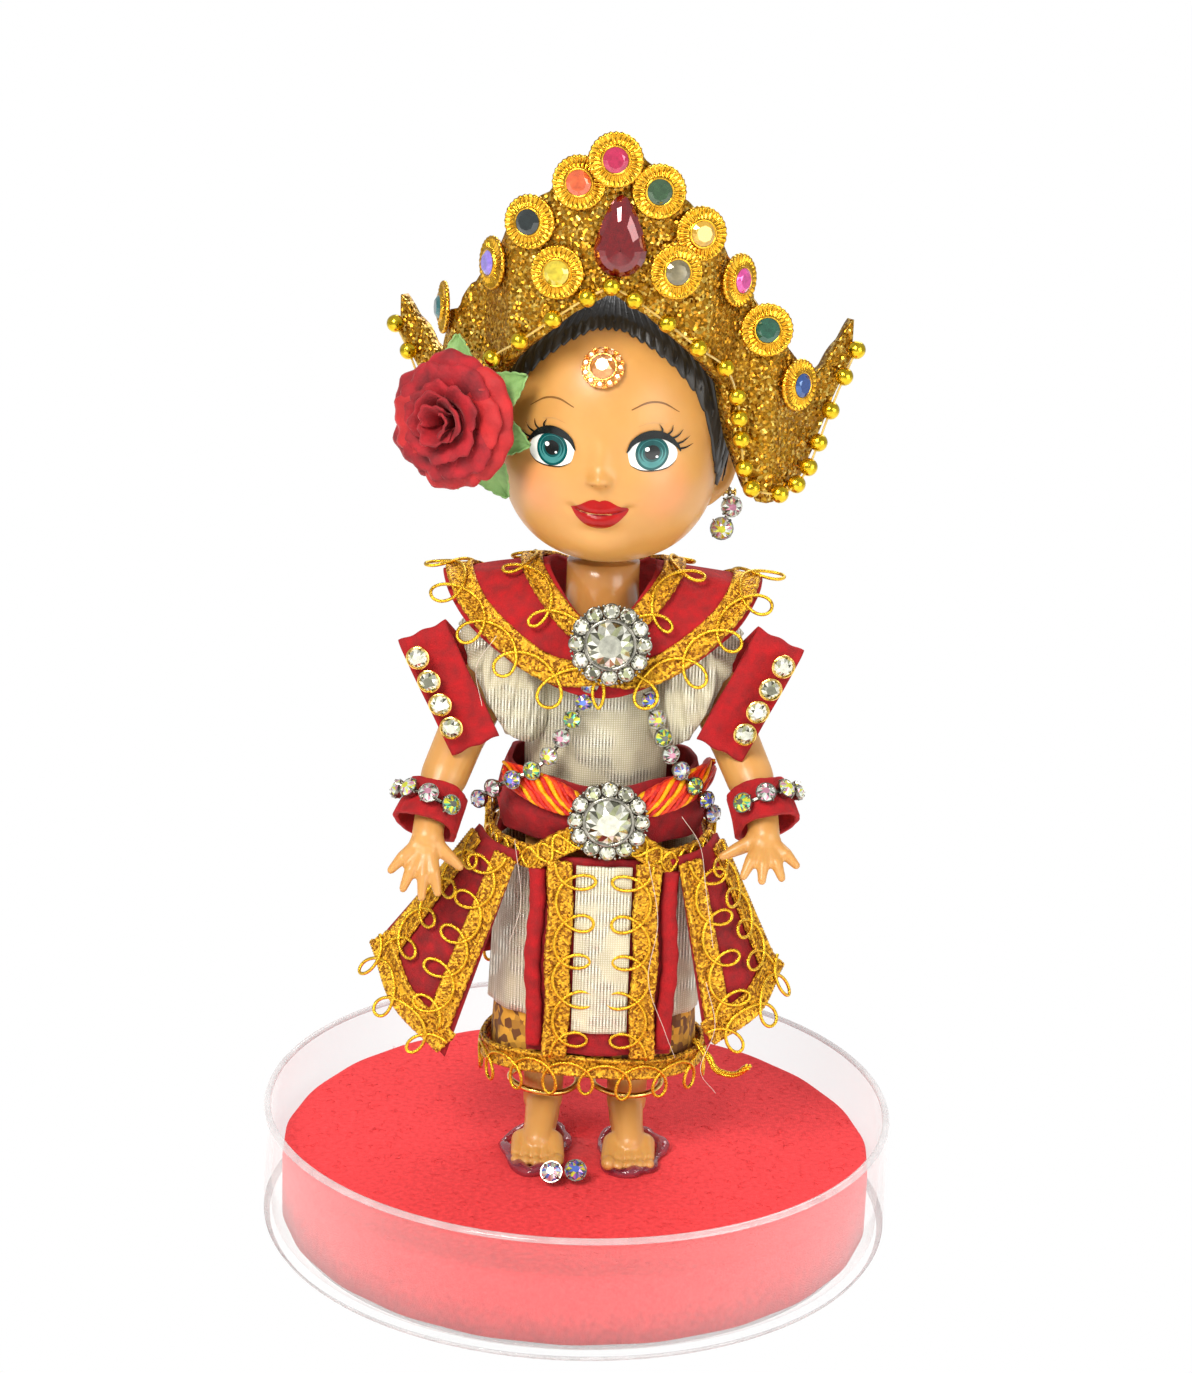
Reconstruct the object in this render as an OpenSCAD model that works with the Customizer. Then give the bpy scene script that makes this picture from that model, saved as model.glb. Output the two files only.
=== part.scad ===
// Costumed dancer doll on a round display stand.
// A small vinyl doll in a dancer's dress, with a jewelled crown, glued on a felt plinth in a clear dish.
// The origin is the middle of the dish's underside, +Z is up and the doll faces -Y.

/* [Stand] */
// Outer diameter of the clear dish
dish_d = 85; // [75:1:110]
// Height of the dish's wall
dish_h = 16.5; // [12:0.5:30]
// Thickness of the dish's wall and floor
dish_wall = 1; // [0.6:0.1:2]
// Gap between the dish's wall and the felt
plinth_gap = 1.5; // [0.5:0.1:3]
// Height of the plinth's foam core
core_h = 8.2; // [5:0.2:10]
// Thickness of the felt
felt_t = 0.8; // [0.4:0.1:1.5]
// Thickness of the glue under the feet
glue_t = 0.4; // [0.2:0.1:1]

/* [Doll] */
// Sideways place of the doll's middle on the stand
doll_x = 1; // [-3:0.5:3]
// Height of the hip axis above the soles
leg_l = 40; // [32:1:50]
// Half the distance between the ankles
stance = 5.7; // [5:0.1:8]
// Height of the shoulder axis above the hip axis
torso_l = 29; // [26:0.5:36]
// Half width of the chest
chest_w = 8.6; // [8:0.1:10]
// Half depth of the chest
chest_d = 6.4; // [5.5:0.1:8]
// Radius of the neck
neck_r = 4.7; // [4.2:0.1:5.4]
// Height of the neck's top above the shoulder axis
neck_l = 12.2; // [11.4:0.2:18]
// Width of the head
head_w = 27.8; // [24:0.2:32]
// Height of the head, chin to crown of the skull
head_h = 33; // [30:0.5:38]
// Depth of the head, face to nape
head_dp = 28; // [25:0.5:31]
// Wall of the hollow torso and head
shell_t = 1.2; // [0.9:0.1:1.6]
// Radius of the shoulder pegs
shoulder_r = 2.4; // [1.8:0.1:3]
// Radius of the hip pegs
hip_r = 2.6; // [2:0.1:3]
// Radius of the neck stem
stem_r = 3.2; // [2.4:0.1:3.6]
// Running clearance of pegs and stem in their holes
fit = 0.06; // [0.02:0.01:0.1]

/* [Costume] */
// Thickness of the velvet
velvet_t = 0.8; // [0.5:0.1:1.2]
// Thickness of the brocade
brocade_t = 0.6; // [0.4:0.1:1]
// Thickness of the gold braid
braid_t = 0.8; // [0.5:0.1:1.2]
// Width of the gold braid
braid_w = 3.2; // [2.4:0.1:4]
// Air between neighbouring layers
layer = 0.25; // [0.2:0.05:0.5]
// Height of the hem's lower edge above the soles
hem_up = 13.4; // [12:0.2:18]
// Length of the front panel
panel_l = 27; // [22:1:30]
// Width of the front panel
panel_w = 19; // [16:0.5:21]

/* [Jewellery] */
// Thickness of the crown's glitter foam
crown_t = 1.8; // [1.2:0.1:2.4]
// Height of the crown's peak above the middle of the head
crown_up = 36.5; // [32:0.5:42]
// Radius of the crown's gold buttons
button_r = 3.2; // [2.6:0.1:3.2]
// Radius of the crown's cabochons
cabochon_r = 1.5; // [1:0.1:1.8]
// Radius of the crown's beads
bead_r = 1.15; // [0.8:0.05:1.3]
// Outer radius of the brooches
brooch_r = 5.35; // [4.5:0.05:6]
// Radius of the rose
rose_r = 8; // [6.5:0.25:8.5]

/* [Hidden] */
$fn = 48;

// Heights, from the table up
dish_r = dish_d / 2;
core_r = dish_r - dish_wall - plinth_gap - felt_t;
felt_z = dish_wall + core_h + felt_t;
sole_z = felt_z + glue_t;
hip_z = sole_z + leg_l;
shoulder_z = hip_z + torso_l;
neck_z = shoulder_z + neck_l;
hem_z = sole_z + hem_up;
neck_y = -1;
head_sink = 1.4;
head_z = neck_z + head_h / 2 + head_sink;
head_c = [doll_x + 0.4, -2, head_z];

// ---- Shapes built from points -------------------------------------------------------------

function mix(a, b, t) = a + (b - a) * t;
function unit(v) = v / norm(v);
function flat(rows) = [for (row = rows) each row];
// The same point on the other side of the doll
function across(p) = [2 * doll_x - p[0], p[1], p[2]];

// A solid through closed rings of points, listed upwards, each ring anticlockwise from above
module loft(rings) {
    m = len(rings[0]);
    last = (len(rings) - 1) * m;
    sides = [for (k = [0:len(rings) - 2], j = [0:m - 1])
        let (a = k * m + j, b = k * m + (j + 1) % m, c = b + m, d = a + m)
        each [[a, d, c], [a, c, b]]];
    bottom = [for (j = [1:m - 2]) [0, j, j + 1]];
    top = [for (j = [1:m - 2]) [last, last + j + 1, last + j]];
    polyhedron(flat(rings), concat(sides, bottom, top));
}

// A wall between outer and inner closed rings, open at both ends
module wall(outer, inner) {
    m = len(outer[0]);
    rows = len(outer);
    n = rows * m;
    skin = [for (k = [0:rows - 2], j = [0:m - 1])
        let (a = k * m + j, b = k * m + (j + 1) % m, c = b + m, d = a + m)
        each [[a, d, c], [a, c, b], [n + a, n + c, n + d], [n + a, n + b, n + c]]];
    rims = [for (j = [0:m - 1])
        let (a = j, b = (j + 1) % m, d = n - m + a, c = n - m + b)
        each [[a, b, n + b], [a, n + b, n + a], [c, d, n + d], [c, n + d, n + c]]];
    polyhedron(concat(flat(outer), flat(inner)), concat(skin, rims));
}

// A closed sheet between a front and a back grid, rows upwards, columns rightwards seen from the front
module sheet(front, back) {
    rows = len(front);
    m = len(front[0]);
    n = rows * m;
    faces = [for (k = [0:rows - 2], j = [0:m - 2])
        let (a = k * m + j, b = a + 1, c = b + m, d = a + m)
        each [[a, d, c], [a, c, b], [n + a, n + c, n + d], [n + a, n + b, n + c]]];
    ends = [for (j = [0:m - 2])
        let (a = j, b = j + 1, d = n - m + j, c = d + 1)
        each [[a, b, n + b], [a, n + b, n + a], [c, d, n + d], [c, n + d, n + c]]];
    sides = [for (k = [0:rows - 2])
        let (a = k * m, d = a + m, b = a + m - 1, c = b + m)
        each [[d, a, n + a], [d, n + a, n + d], [b, c, n + c], [b, n + c, n + b]]];
    polyhedron(concat(flat(front), flat(back)), concat(faces, ends, sides));
}

// An oval ring of n points with half width w and half depth d
function oval(c, w, d, z, n = 40) = [for (i = [0:n - 1])
    let (a = 360 * i / n) [c[0] + w * cos(a), c[1] + d * sin(a), z]];

// Turns +Z to point along v
module aim(v) {
    rotate([0, acos(v[2] / norm(v)), atan2(v[1], v[0])]) children();
}

// ---- Stand --------------------------------------------------------------------------------

module base_dish() {
    foot_in = dish_r - 4;
    color("white", 0.35)
    rotate_extrude($fn = 128)
        polygon([
            [0, dish_wall * 0.4], [foot_in - 1, dish_wall * 0.4], [foot_in, 0], [dish_r - 0.6, 0],
            [dish_r, 0.6], [dish_r, dish_h], [dish_r - dish_wall, dish_h],
            [dish_r - dish_wall, dish_wall], [0, dish_wall],
        ]);
}

module plinth_core() {
    color("ivory")
    translate([0, 0, dish_wall])
        cylinder(r = core_r, h = core_h, $fn = 128);
}

module felt_cover() {
    color("crimson")
    difference() {
        translate([0, 0, dish_wall])
            cylinder(r = core_r + felt_t, h = core_h + felt_t, $fn = 128);
        translate([0, 0, dish_wall])
            cylinder(r = core_r, h = core_h, $fn = 128);
    }
}

// ---- Legs ---------------------------------------------------------------------------------

foot_l = 13.5;
foot_w = 3.6;
heel_y = 3;
ankle_up = 8.4;
calf_up = 22;
knee_up = 27;
hub_r = 5.2;
hub_w = 4;
pelvis_w = 4.8;
side_gap = 0.2;
peg_flange = 0.8;
flange_over = 0.7;
flange_gap = 0.3;
hip_peg_in = 1;
shoulder_peg_in = 2.8;

// The shape of a foot's sole, grown by g; side is -1 on the doll's right
module sole(side, g = 0) {
    offset(r = g, $fn = 24) hull() {
        translate([0, heel_y - 2.6]) circle(2.6, $fn = 24);
        translate([side * 0.9, heel_y - foot_l + foot_w]) circle(foot_w, $fn = 24);
    }
}

module foot(side) {
    toes_h = 2.6;
    linear_extrude(toes_h) sole(side);
    hull() {
        translate([0, 0, toes_h - 0.4]) linear_extrude(0.4) sole(side, -0.6);
        translate([0, 0, ankle_up]) cylinder(r = 2.7, h = 0.4, $fn = 24);
    }
}

// A leg with its hub disc and hip peg
module leg(side) {
    hub_x = pelvis_w + side_gap;
    rings = [  // height, place, half width, half depth
        [ankle_up - 1, stance, 2.9, 2.9], [ankle_up + 4, stance, 3.1, 3.1], [calf_up, 5.9, 4.2, 4.2],
        [knee_up, 6.2, 4.3, 4.3], [leg_l - 6.5, 7.1, 2, 4.4], [leg_l, 7.1, 2, 4.4],
    ];
    color("navajowhite")
    union() {
        translate([doll_x + side * stance, 0, sole_z]) foot(side);
        loft([for (r = rings) oval([doll_x + side * r[1], 0], r[2], r[3], sole_z + r[0], 28)]);
        translate([doll_x, 0, hip_z]) rotate([0, side * 90, 0]) {
            translate([0, 0, hub_x]) cylinder(r = hub_r, h = hub_w);
            translate([0, 0, hip_peg_in]) {
                cylinder(r = hip_r, h = hub_x - hip_peg_in + 0.1);
                cylinder(r = hip_r + flange_over, h = peg_flange);
            }
        }
    }
}

module glue_pads() {
    pad_h = 1.5;
    color("mistyrose", 0.5)
    for (side = [-1, 1])
        translate([doll_x + side * stance, 0, felt_z])
            difference() {
                linear_extrude(glue_t + pad_h) sole(side, 1.7);
                translate([0, 0, glue_t]) linear_extrude(pad_h + 1) sole(side, 0.05);
            }
}

module toe_crystals() {
    crystal_r = 1.6;
    color("lightsteelblue")
    for (p = [[-3.9, -14.1], [-0.7, -13.2]])
        translate([doll_x + p[0], p[1], felt_z + crystal_r - 0.2]) {
            difference() {
                sphere(crystal_r);
                translate([0, 0, -2 * crystal_r + 0.2])
                    cube([4 * crystal_r, 4 * crystal_r, 2 * crystal_r], center = true);
            }
        }
}

module anklet(side) {
    hoop_r = 4.6;
    color("gold")
    translate([doll_x + side * stance, 0, sole_z + ankle_up - 0.3])
        rotate([0, side * -3, 0])
            rotate_extrude() translate([hoop_r - side * 0.1, 0]) circle(0.45, $fn = 16);
}

// ---- Skirt --------------------------------------------------------------------------------

skirt_c = [doll_x + 0.8, -0.5];
skirt_top = hip_z + 3.2;
// Half width and half depth of the skirt, by height above the hem as a share of its length
skirt_w = [[0, 13.2], [0.25, 12.8], [0.6, 12.4], [1, 11.6]];
skirt_d = [[0, 9.6], [0.25, 9.4], [0.6, 9.2], [1, 8.3]];

// A tube of cloth round the legs, between two shares of the skirt's length, grown outward by g
module skirt_tube(low, high, g, t) {
    shares = [for (i = [0:6]) mix(low, high, i / 6)];
    function ring(s, grow) = oval(skirt_c, lookup(s, skirt_w) + grow, lookup(s, skirt_d) + grow,
                                  mix(hem_z, skirt_top, s));
    wall([for (s = shares) ring(s, g + t)], [for (s = shares) ring(s, g)]);
}

module batik_wrap() color("darkgoldenrod") skirt_tube(0.02, 0.6, 0, brocade_t);

module overskirt() color("gainsboro") skirt_tube(0.3, 1, brocade_t + layer, brocade_t);

module hem_braid() color("gold") skirt_tube(0, braid_w / (skirt_top - hem_z), brocade_t + layer, braid_t);

panel_c = doll_x + 1.8;
panel_top = hip_z + 4.2;
panel_y = skirt_c[1] - 9.6 - 2 * (brocade_t + layer) - 0.5;

// A flat-backed strip that curves round the front of the skirt, from x0 to x1, hanging from z1 to z0
module front_strip(x0, x1, z0, z1, out, t) {
    bend = 60;
    function row(z, o) = [for (i = [0:8])
        let (x = mix(x0, x1, i / 8), y = panel_y - o + pow(x - panel_c, 2) / bend)
        [x, y, z]];
    sheet([for (k = [0:3]) row(mix(z0, z1, k / 3), out + t)],
          [for (k = [0:3]) row(mix(z0, z1, k / 3), out)]);
}

module front_panel() {
    color("firebrick")
    front_strip(panel_c - panel_w / 2, panel_c + panel_w / 2, panel_top - panel_l, panel_top,
                0, velvet_t);
}

inlay_w = 6.6;

module front_inlay() {
    color("silver")
    front_strip(panel_c - inlay_w / 2, panel_c + inlay_w / 2, panel_top - panel_l + 3, panel_top - 1,
                velvet_t + layer, brocade_t);
}

module front_braids() {
    inner = inlay_w / 2 + layer;
    color("gold")
    for (side = [-1, 1])
        front_strip(panel_c + side * (inner + braid_w / 2) - braid_w / 2,
                    panel_c + side * (inner + braid_w / 2) + braid_w / 2,
                    panel_top - panel_l, panel_top - 0.5, velvet_t + layer, braid_t);
}

// Corners of the flared hip panels from the hip's middle: outer top, inner top, low tip, outer tip
right_panel = [[-14.6, -4.4, 5.6], [-9.4, -11, 4.6], [-18.5, -12.5, -23.5], [-28, -5, -11]];
left_panel = [[15.6, -4.4, 5.6], [10.8, -11, 4.6], [15.5, -13, -20.5], [24.5, -5, -12]];

function quad_at(q, u, v) = mix(mix(q[3], q[2], u), mix(q[0], q[1], u), v);
function panel_point(q, u, v, out) =
    let (p = quad_at(q, u, v), bulge = 2.2 * sin(180 * u) * (1 - 0.4 * v))
    [doll_x + p[0] + (q[0][0] < 0 ? -1 : 1) * (bulge + out) * 0.6, p[1] - (bulge + out) * 0.8, hip_z + p[2]];

// A patch of a hip panel between two shares of its width and height
module panel_patch(q, u0, u1, v0, v1, out, t) {
    flip = q[0][0] > 0;
    function grid(o) = [for (k = [0:6]) [for (i = [0:8])
        let (s = flip ? 1 - i / 8 : i / 8) panel_point(q, mix(u0, u1, s), mix(v0, v1, k / 6), o)]];
    sheet(grid(out + t), grid(out));
}

module peplum(q) color("firebrick") panel_patch(q, 0, 1, 0, 1, 0, velvet_t);

// Braid along the two sides and the foot of a hip panel
module peplum_braid(q) {
    edge = 0.24;
    out = velvet_t + layer;
    color("gold")
    difference() {
        panel_patch(q, 0, 1, 0, 0.97, out, braid_t);
        panel_patch(q, edge, 1 - edge, edge, 1, out - 1, braid_t + 2);
    }
}

// The hip panel at the back, as a flared band over half a turn
module back_band(v0, v1, out, t) {
    wide = 68;
    function pt(a, v, o) = let (w = mix(20.5, 14.4, v), d = mix(15, 10.8, v))
        [skirt_c[0] - (w + o) * sin(a), skirt_c[1] + (d + o) * cos(a), hip_z + mix(-17, 5, v)];
    function grid(o) = [for (k = [0:5]) [for (i = [0:20])
        pt(mix(-wide, wide, i / 20), mix(v0, v1, k / 5), o)]];
    sheet(grid(out + t), grid(out));
}

module back_peplum() color("firebrick") back_band(0, 1, 0, velvet_t);

module back_peplum_braid() color("gold") back_band(0, 0.15, velvet_t + layer, braid_t);

// ---- Torso --------------------------------------------------------------------------------

waist_w = 7.8;
waist_d = 5.8;
// The body ends where the pegs' flanges clear its inside
body_low = hip_z - hip_r - flange_over - flange_gap - shell_t;
body_high = shoulder_z + shoulder_r + flange_over + flange_gap + shell_t;

// Outer form of the hollow body, grown by g
module body_form(g) {
    rings = [
        [body_low, 3.6, 4.3], [hip_z - 2, pelvis_w, 5.2], [hip_z + 5.4, pelvis_w, 5.6],
        [hip_z + 6.4, waist_w, waist_d], [hip_z + 14, waist_w + 0.2, waist_d],
        [shoulder_z - 6, chest_w, chest_d], [shoulder_z, chest_w - 0.2, chest_d - 0.6],
        [body_high, chest_w - 2.8, chest_d - 1.4],
    ];
    ends = [for (r = rings) r[0]];
    loft([for (r = rings)
        oval([doll_x, 0], r[1] + g, r[2] + g, r[0] == ends[0] ? r[0] - g : (r[0] == ends[7] ? r[0] + g : r[0]))]);
}

// Hollow body with neck, stem and knob, and holes for the four pegs
module torso() {
    knob_r = stem_r + 1.1;
    difference() {
        union() {
            body_form(0);
            translate([doll_x, neck_y, shoulder_z + 2]) cylinder(r = neck_r, h = neck_z - shoulder_z - 2);
            translate([doll_x, neck_y, neck_z - 1]) cylinder(r = stem_r, h = 1 + head_floor + 0.7);
            translate([doll_x, neck_y, neck_z + head_floor + 0.4]) cylinder(r1 = knob_r, r2 = stem_r - 0.4, h = 1.6);
        }
        body_form(-shell_t);
        for (side = [-1, 1]) {
            translate([doll_x, 0, hip_z]) rotate([0, side * 90, 0])
                cylinder(r = hip_r + fit, h = 20);
            translate([doll_x, 0, shoulder_z]) rotate([0, side * 90, 0])
                cylinder(r = shoulder_r + fit, h = 20);
        }
    }
}

module half(front) {
    big = 200;
    intersection() {
        torso();
        translate([-big / 2, front ? -big : 0, 0]) cube([big, big, big]);
    }
}

module torso_front() color("burlywood") half(true);

module torso_back() color("burlywood") half(false);

// A wall of cloth round the body between heights a and b above the hip
module body_wrap(c, w, d, a, b, t) {
    zs = [for (i = [0:6]) mix(a, b, i / 6)];
    function ring(z, g) = oval(c, lookup(z, w) + g, lookup(z, d) + g, hip_z + z);
    wall([for (z = zs) ring(z, t)], [for (z = zs) ring(z, 0)]);
}

bodice_low = 9;
bodice_high = torso_l + 1;
bodice_w = [[bodice_low, 8.6], [18, 8.9], [torso_l - 6, chest_w + layer], [torso_l, chest_w + layer],
            [bodice_high, chest_w + layer]];
bodice_d = [[bodice_low, 6.6], [18, 7.4], [torso_l - 6, chest_d + 1.2], [torso_l, chest_d + 0.6],
            [bodice_high, chest_d + 0.3]];

module bodice() {
    color("silver")
    difference() {
        body_wrap([doll_x, 0], bodice_w, bodice_d, bodice_low, bodice_high, brocade_t);
        for (side = [-1, 1])
            translate([doll_x, 0, shoulder_z]) rotate([0, side * 90, 0])
                cylinder(r = shoulder_r + 1.2, h = 20);
    }
}

band_c = [doll_x + 0.8, -0.6];
band_low = 5.8;
band_high = 14.6;
band_w = [[band_low, 12.7], [9.5, 13.4], [band_high, 11.8]];
band_d = [[band_low, 9.7], [9.5, 10.4], [band_high, 8.8]];

module waistband() color("darkred") body_wrap(band_c, band_w, band_d, band_low, band_high, velvet_t);

// Twisted sash over the waistband, on one side of the brooch
module sash(side) {
    out = velvet_t + layer;
    thick = 1.5;
    from = side < 0 ? 196 : 344;
    to = side < 0 ? 243 : 300;
    function pt(s, v, o) = let (
        a = mix(from, to, s), z = mix(13.4, 10.9, s) + (v - 0.5) * 4,
        w = lookup(z, band_w) + o, d = lookup(z, band_d) + o)
        [band_c[0] + w * cos(a), band_c[1] + d * sin(a), hip_z + z];
    function grid(o) = [for (v = [0:3]) [for (i = [0:8]) pt(side < 0 ? i / 8 : 1 - i / 8, v / 3, o)]];
    color("darkorange") sheet(grid(out + thick), grid(out));
}

// ---- Collar -------------------------------------------------------------------------------

// Stations of the collar from front to back on the doll's left, as inner edge, outer edge and outward
// direction, measured from the shoulder axis
collar_half = [
    [[0, -8.6, 5.0], [0, -9.8, -4.0], [0, -0.97, 0.25]],
    [[2.8, -8.2, 6.4], [6.2, -9.9, -2.4], [0.1, -0.93, 0.35]],
    [[5.0, -6.6, 9.0], [12.2, -9.0, 0.8], [0.2, -0.75, 0.63]],
    [[6.4, -4.0, 10.8], [17.6, -6.2, 5.0], [0.15, -0.5, 0.85]],
    [[6.8, -1.4, 11.2], [20.2, -2.4, 8.8], [0.1, -0.1, 0.99]],
    [[6.6, 2.0, 11.2], [19.8, 3.0, 8.8], [0.1, 0.1, 0.99]],
    [[5.0, 4.8, 10.6], [13.5, 8.0, 5.0], [0.15, 0.5, 0.85]],
    [[2.6, 6.4, 9.8], [6.4, 9.8, 1.4], [0.1, 0.85, 0.5]],
    [[0, 6.9, 9.4], [0, 10.2, 0.4], [0, 0.9, 0.43]],
];
collar_n = len(collar_half);

// All stations once round, anticlockwise from above, starting at the back
function collar_station(i) = let (k = i < collar_n ? collar_n - 1 - i : i - collar_n + 1)
    [for (p = collar_half[k]) [i < collar_n ? -p[0] : p[0], p[1], p[2]]];
collar_count = 2 * collar_n - 2;

function collar_point(i, s, out) = let (
    st = collar_station(i), p = mix(st[0], st[1], s) + unit(st[2]) * out)
    [doll_x + p[0], p[1], shoulder_z + p[2]];

// A ring of the collar between two shares of its width, as a wall with its rings inside out
module collar_ring(s0, s1, out, t) {
    function ring(s, o) = [for (i = [0:collar_count - 1]) collar_point(i, s, o)];
    shares = [for (k = [0:3]) mix(s1, s0, k / 3)];
    wall([for (s = shares) ring(s, out + t)], [for (s = shares) ring(s, out)]);
}

module collar() color("firebrick") collar_ring(0, 1, 0, velvet_t);

module collar_outer_braid() color("gold") collar_ring(0.68, 0.96, velvet_t + layer, braid_t);

module collar_inner_braid() color("gold") collar_ring(0.04, 0.34, velvet_t + layer, braid_t);

// ---- Brooches and chains --------------------------------------------------------------------

brooch_n = 12;
collar_brooch_at = [doll_x + 1.2, -11.9, shoulder_z + 3.8];
belt_brooch_at = [doll_x + 1.8, band_c[1] - 10.4 - velvet_t - layer - 0.6, hip_z + 9.9];

module brooch_setting() {
    ring_r = brooch_r - 1.15;
    color("dimgray")
    union() {
        cylinder(r = brooch_r - 1, h = 0.8);
        cylinder(r = 3.2, h = 1.6);
        for (i = [0:brooch_n - 1])
            rotate(360 * i / brooch_n) translate([ring_r, 0, 0]) cylinder(r = 1.12, h = 1.4, $fn = 24);
    }
}

module brooch_stones() {
    ring_r = brooch_r - 1.15;
    color("lightyellow") {
        translate([0, 0, 1.6]) cylinder(r1 = 3, r2 = 1.7, h = 1.1);
        for (i = [0:brooch_n - 1])
            rotate(360 * i / brooch_n) translate([ring_r, 0, 1.4]) cylinder(r1 = 0.95, r2 = 0.5, h = 0.5, $fn = 24);
    }
}

module on_brooch(at, tip) translate(at) rotate([90 + tip, 0, 0]) children();

// One cup of a cup chain with its stone, facing +Z
module cup_stone(r = 0.95) {
    cylinder(r = r, h = 1.1, $fn = 20);
    translate([0, 0, 1.1]) cylinder(r1 = r * 0.85, r2 = r * 0.45, h = 0.45, $fn = 20);
}

// Cup chain from the collar brooch to the waist, as [across, up] from the doll's middle at the hip
chain_right = [[-2.4, 23.4], [-3.7, 21.4], [-5.1, 19.4], [-6.6, 17.6], [-8.2, 16.2]];
chain_left = [[4.4, 23.2], [5.8, 21.3], [7.0, 19.2], [8.0, 17.2]];

module chain(points) {
    stand_off = 0.3;
    color("slategray")
    for (p = points) {
        w = lookup(p[1], bodice_w) + brocade_t + stand_off;
        d = lookup(p[1], bodice_d) + brocade_t + stand_off;
        low = p[1] < 20 ? 1 : 0;
        x = p[0];
        y = -d * sqrt(1 - pow(min(abs(x) / w, 0.98), 2)) - 0.3 - low;
        n = [x / (w * w), y / (d * d), 0];
        translate([doll_x + x, y, hip_z + p[1]]) aim(n) cup_stone();
    }
}

// ---- Arms ---------------------------------------------------------------------------------

// The right arm's joints and hand, from the shoulder axis at the doll's middle
arm_root = chest_w + 1.1;
arm_path = [[-(arm_root + 2.6), 0, -0.2], [-17.9, -3.4, -12], [-20.9, -9.6, -19.4]];
arm_radii = [3.6, 3.4, 2.7];
palm = [-21.3, -12.2, -21.8];
fingers = [
    [-26.0, -15.6, -26.4], [-24.2, -16.8, -28.6], [-21.6, -17.4, -29.6], [-19.4, -17.0, -29.0],
    [-16.6, -13.8, -26.2],
];
left_fingers = [
    [-25.6, -16.2, -25.2], [-23.6, -17.6, -26.6], [-20.9, -18, -27], [-18.4, -17.4, -26.6], [-15.6, -14, -25],
];
// How much further out, forward and up the left hand is held
left_shift = [0.4, -0.6, 1.8];
wrist_dir = unit([-2.0, -4.2, -5.0]);

function arm_point(side, p, drop) = let (q = side > 0 ? p + [-left_shift[0], left_shift[1], left_shift[2]] * drop : p)
    [doll_x - side * q[0], q[1], shoulder_z + q[2]];

module limb(side, a, ra, da, b, rb, db) {
    hull() {
        translate(arm_point(side, a, da)) sphere(ra, $fn = 20);
        translate(arm_point(side, b, db)) sphere(rb, $fn = 20);
    }
}

module arm(side) {
    drops = [0, 0.4, 1];
    color("navajowhite")
    union() {
        for (i = [0:1])
            limb(side, arm_path[i], arm_radii[i], drops[i], arm_path[i + 1], arm_radii[i + 1], drops[i + 1]);
        for (f = side < 0 ? fingers : left_fingers) limb(side, palm, 2, 1, f, 0.75, 1);
        translate([doll_x, 0, shoulder_z]) rotate([0, side * 90, 0]) {
            translate([0, 0, shoulder_peg_in]) {
                cylinder(r = shoulder_r, h = arm_root - shoulder_peg_in + 1);
                cylinder(r = shoulder_r + flange_over, h = peg_flange);
            }
        }
    }
}

cap_c = [-(arm_root + 3.5), -0.8, -1.6];
cap_r = 6.4;
band_dir = unit([-0.44, 0, 0.9]);
band_len = 10.5;
band_foot = -4.2;
band_wide = 6.4;
band_mid = [-17.6, -3.0, -7.0];
band_in = 5.6;

// Frame whose X runs up and out along the arm band, Y runs back and Z across the band
module band_frame(side) {
    p = arm_point(side, band_mid, 0.3);
    translate(p) multmatrix([
        [-side * band_dir[0], 0, side * band_dir[2], 0],
        [0, 1, 0, 0],
        [band_dir[2], 0, band_dir[0], 0],
        [0, 0, 0, 1],
    ]) children();
}

// A puff of brocade over the shoulder, open where the arm comes out of it
module cap_sleeve(side) {
    big = 40;
    color("silver")
    difference() {
        translate(arm_point(side, cap_c, 0)) sphere(cap_r);
        translate(arm_point(side, cap_c, 0)) sphere(cap_r - brocade_t);
        translate([doll_x + side * (chest_w + layer + brocade_t + 0.3) - (side > 0 ? big : 0), -big / 2, shoulder_z - big / 2])
            cube(big);
        band_frame(side) translate([-big / 2, -big / 2, -band_wide / 2 - layer - 0.1]) cube(big);
        limb(side, arm_path[0], arm_radii[0] + layer + 0.1, 0, arm_path[1], arm_radii[1] + layer + 0.1, 0.4);
    }
}

// The outline of the ribbon folded over the sleeve, flat in front, grown by g
module band_outline(g) {
    tip_r = 1.4;
    offset(r = g, $fn = 24) hull() {
        translate([-2 * band_in, 0]) circle(band_in, $fn = 40);
        translate([2.6, 0]) circle(band_in, $fn = 40);
        translate([band_len, tip_r - band_in]) circle(tip_r, $fn = 24);
    }
}

module arm_band(side) {
    color("crimson")
    band_frame(side)
        translate([0, 0, -band_wide / 2])
            linear_extrude(band_wide)
                difference() {
                    band_outline(velvet_t);
                    band_outline(0);
                    translate([band_foot - 4 * band_in, -2 * band_in]) square(4 * band_in);
                }
}

// Four stones in round bezels along the ribbon's front
module band_studs(side) {
    pitch = 3.4;
    stud_r = 1.35;
    color("palegoldenrod")
    band_frame(side)
        for (i = [0:3])
            translate([-0.9 + pitch * i, -band_in - velvet_t - 0.1, 1.6]) rotate([90, 0, 0]) {
                cylinder(r = stud_r, h = 0.8, $fn = 24);
                translate([0, 0, 0.8]) cylinder(r1 = stud_r - 0.3, r2 = stud_r - 0.8, h = 0.4, $fn = 24);
            }
}

cuff_l = 5.2;
cuff_in = 3.2;
cuff_back = 2.4;

// Frame at the wrist with +Z towards the hand
module wrist_frame(side) {
    d = [-side * wrist_dir[0], wrist_dir[1], wrist_dir[2]];
    translate(arm_point(side, arm_path[2], 1)) aim(d) children();
}

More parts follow.
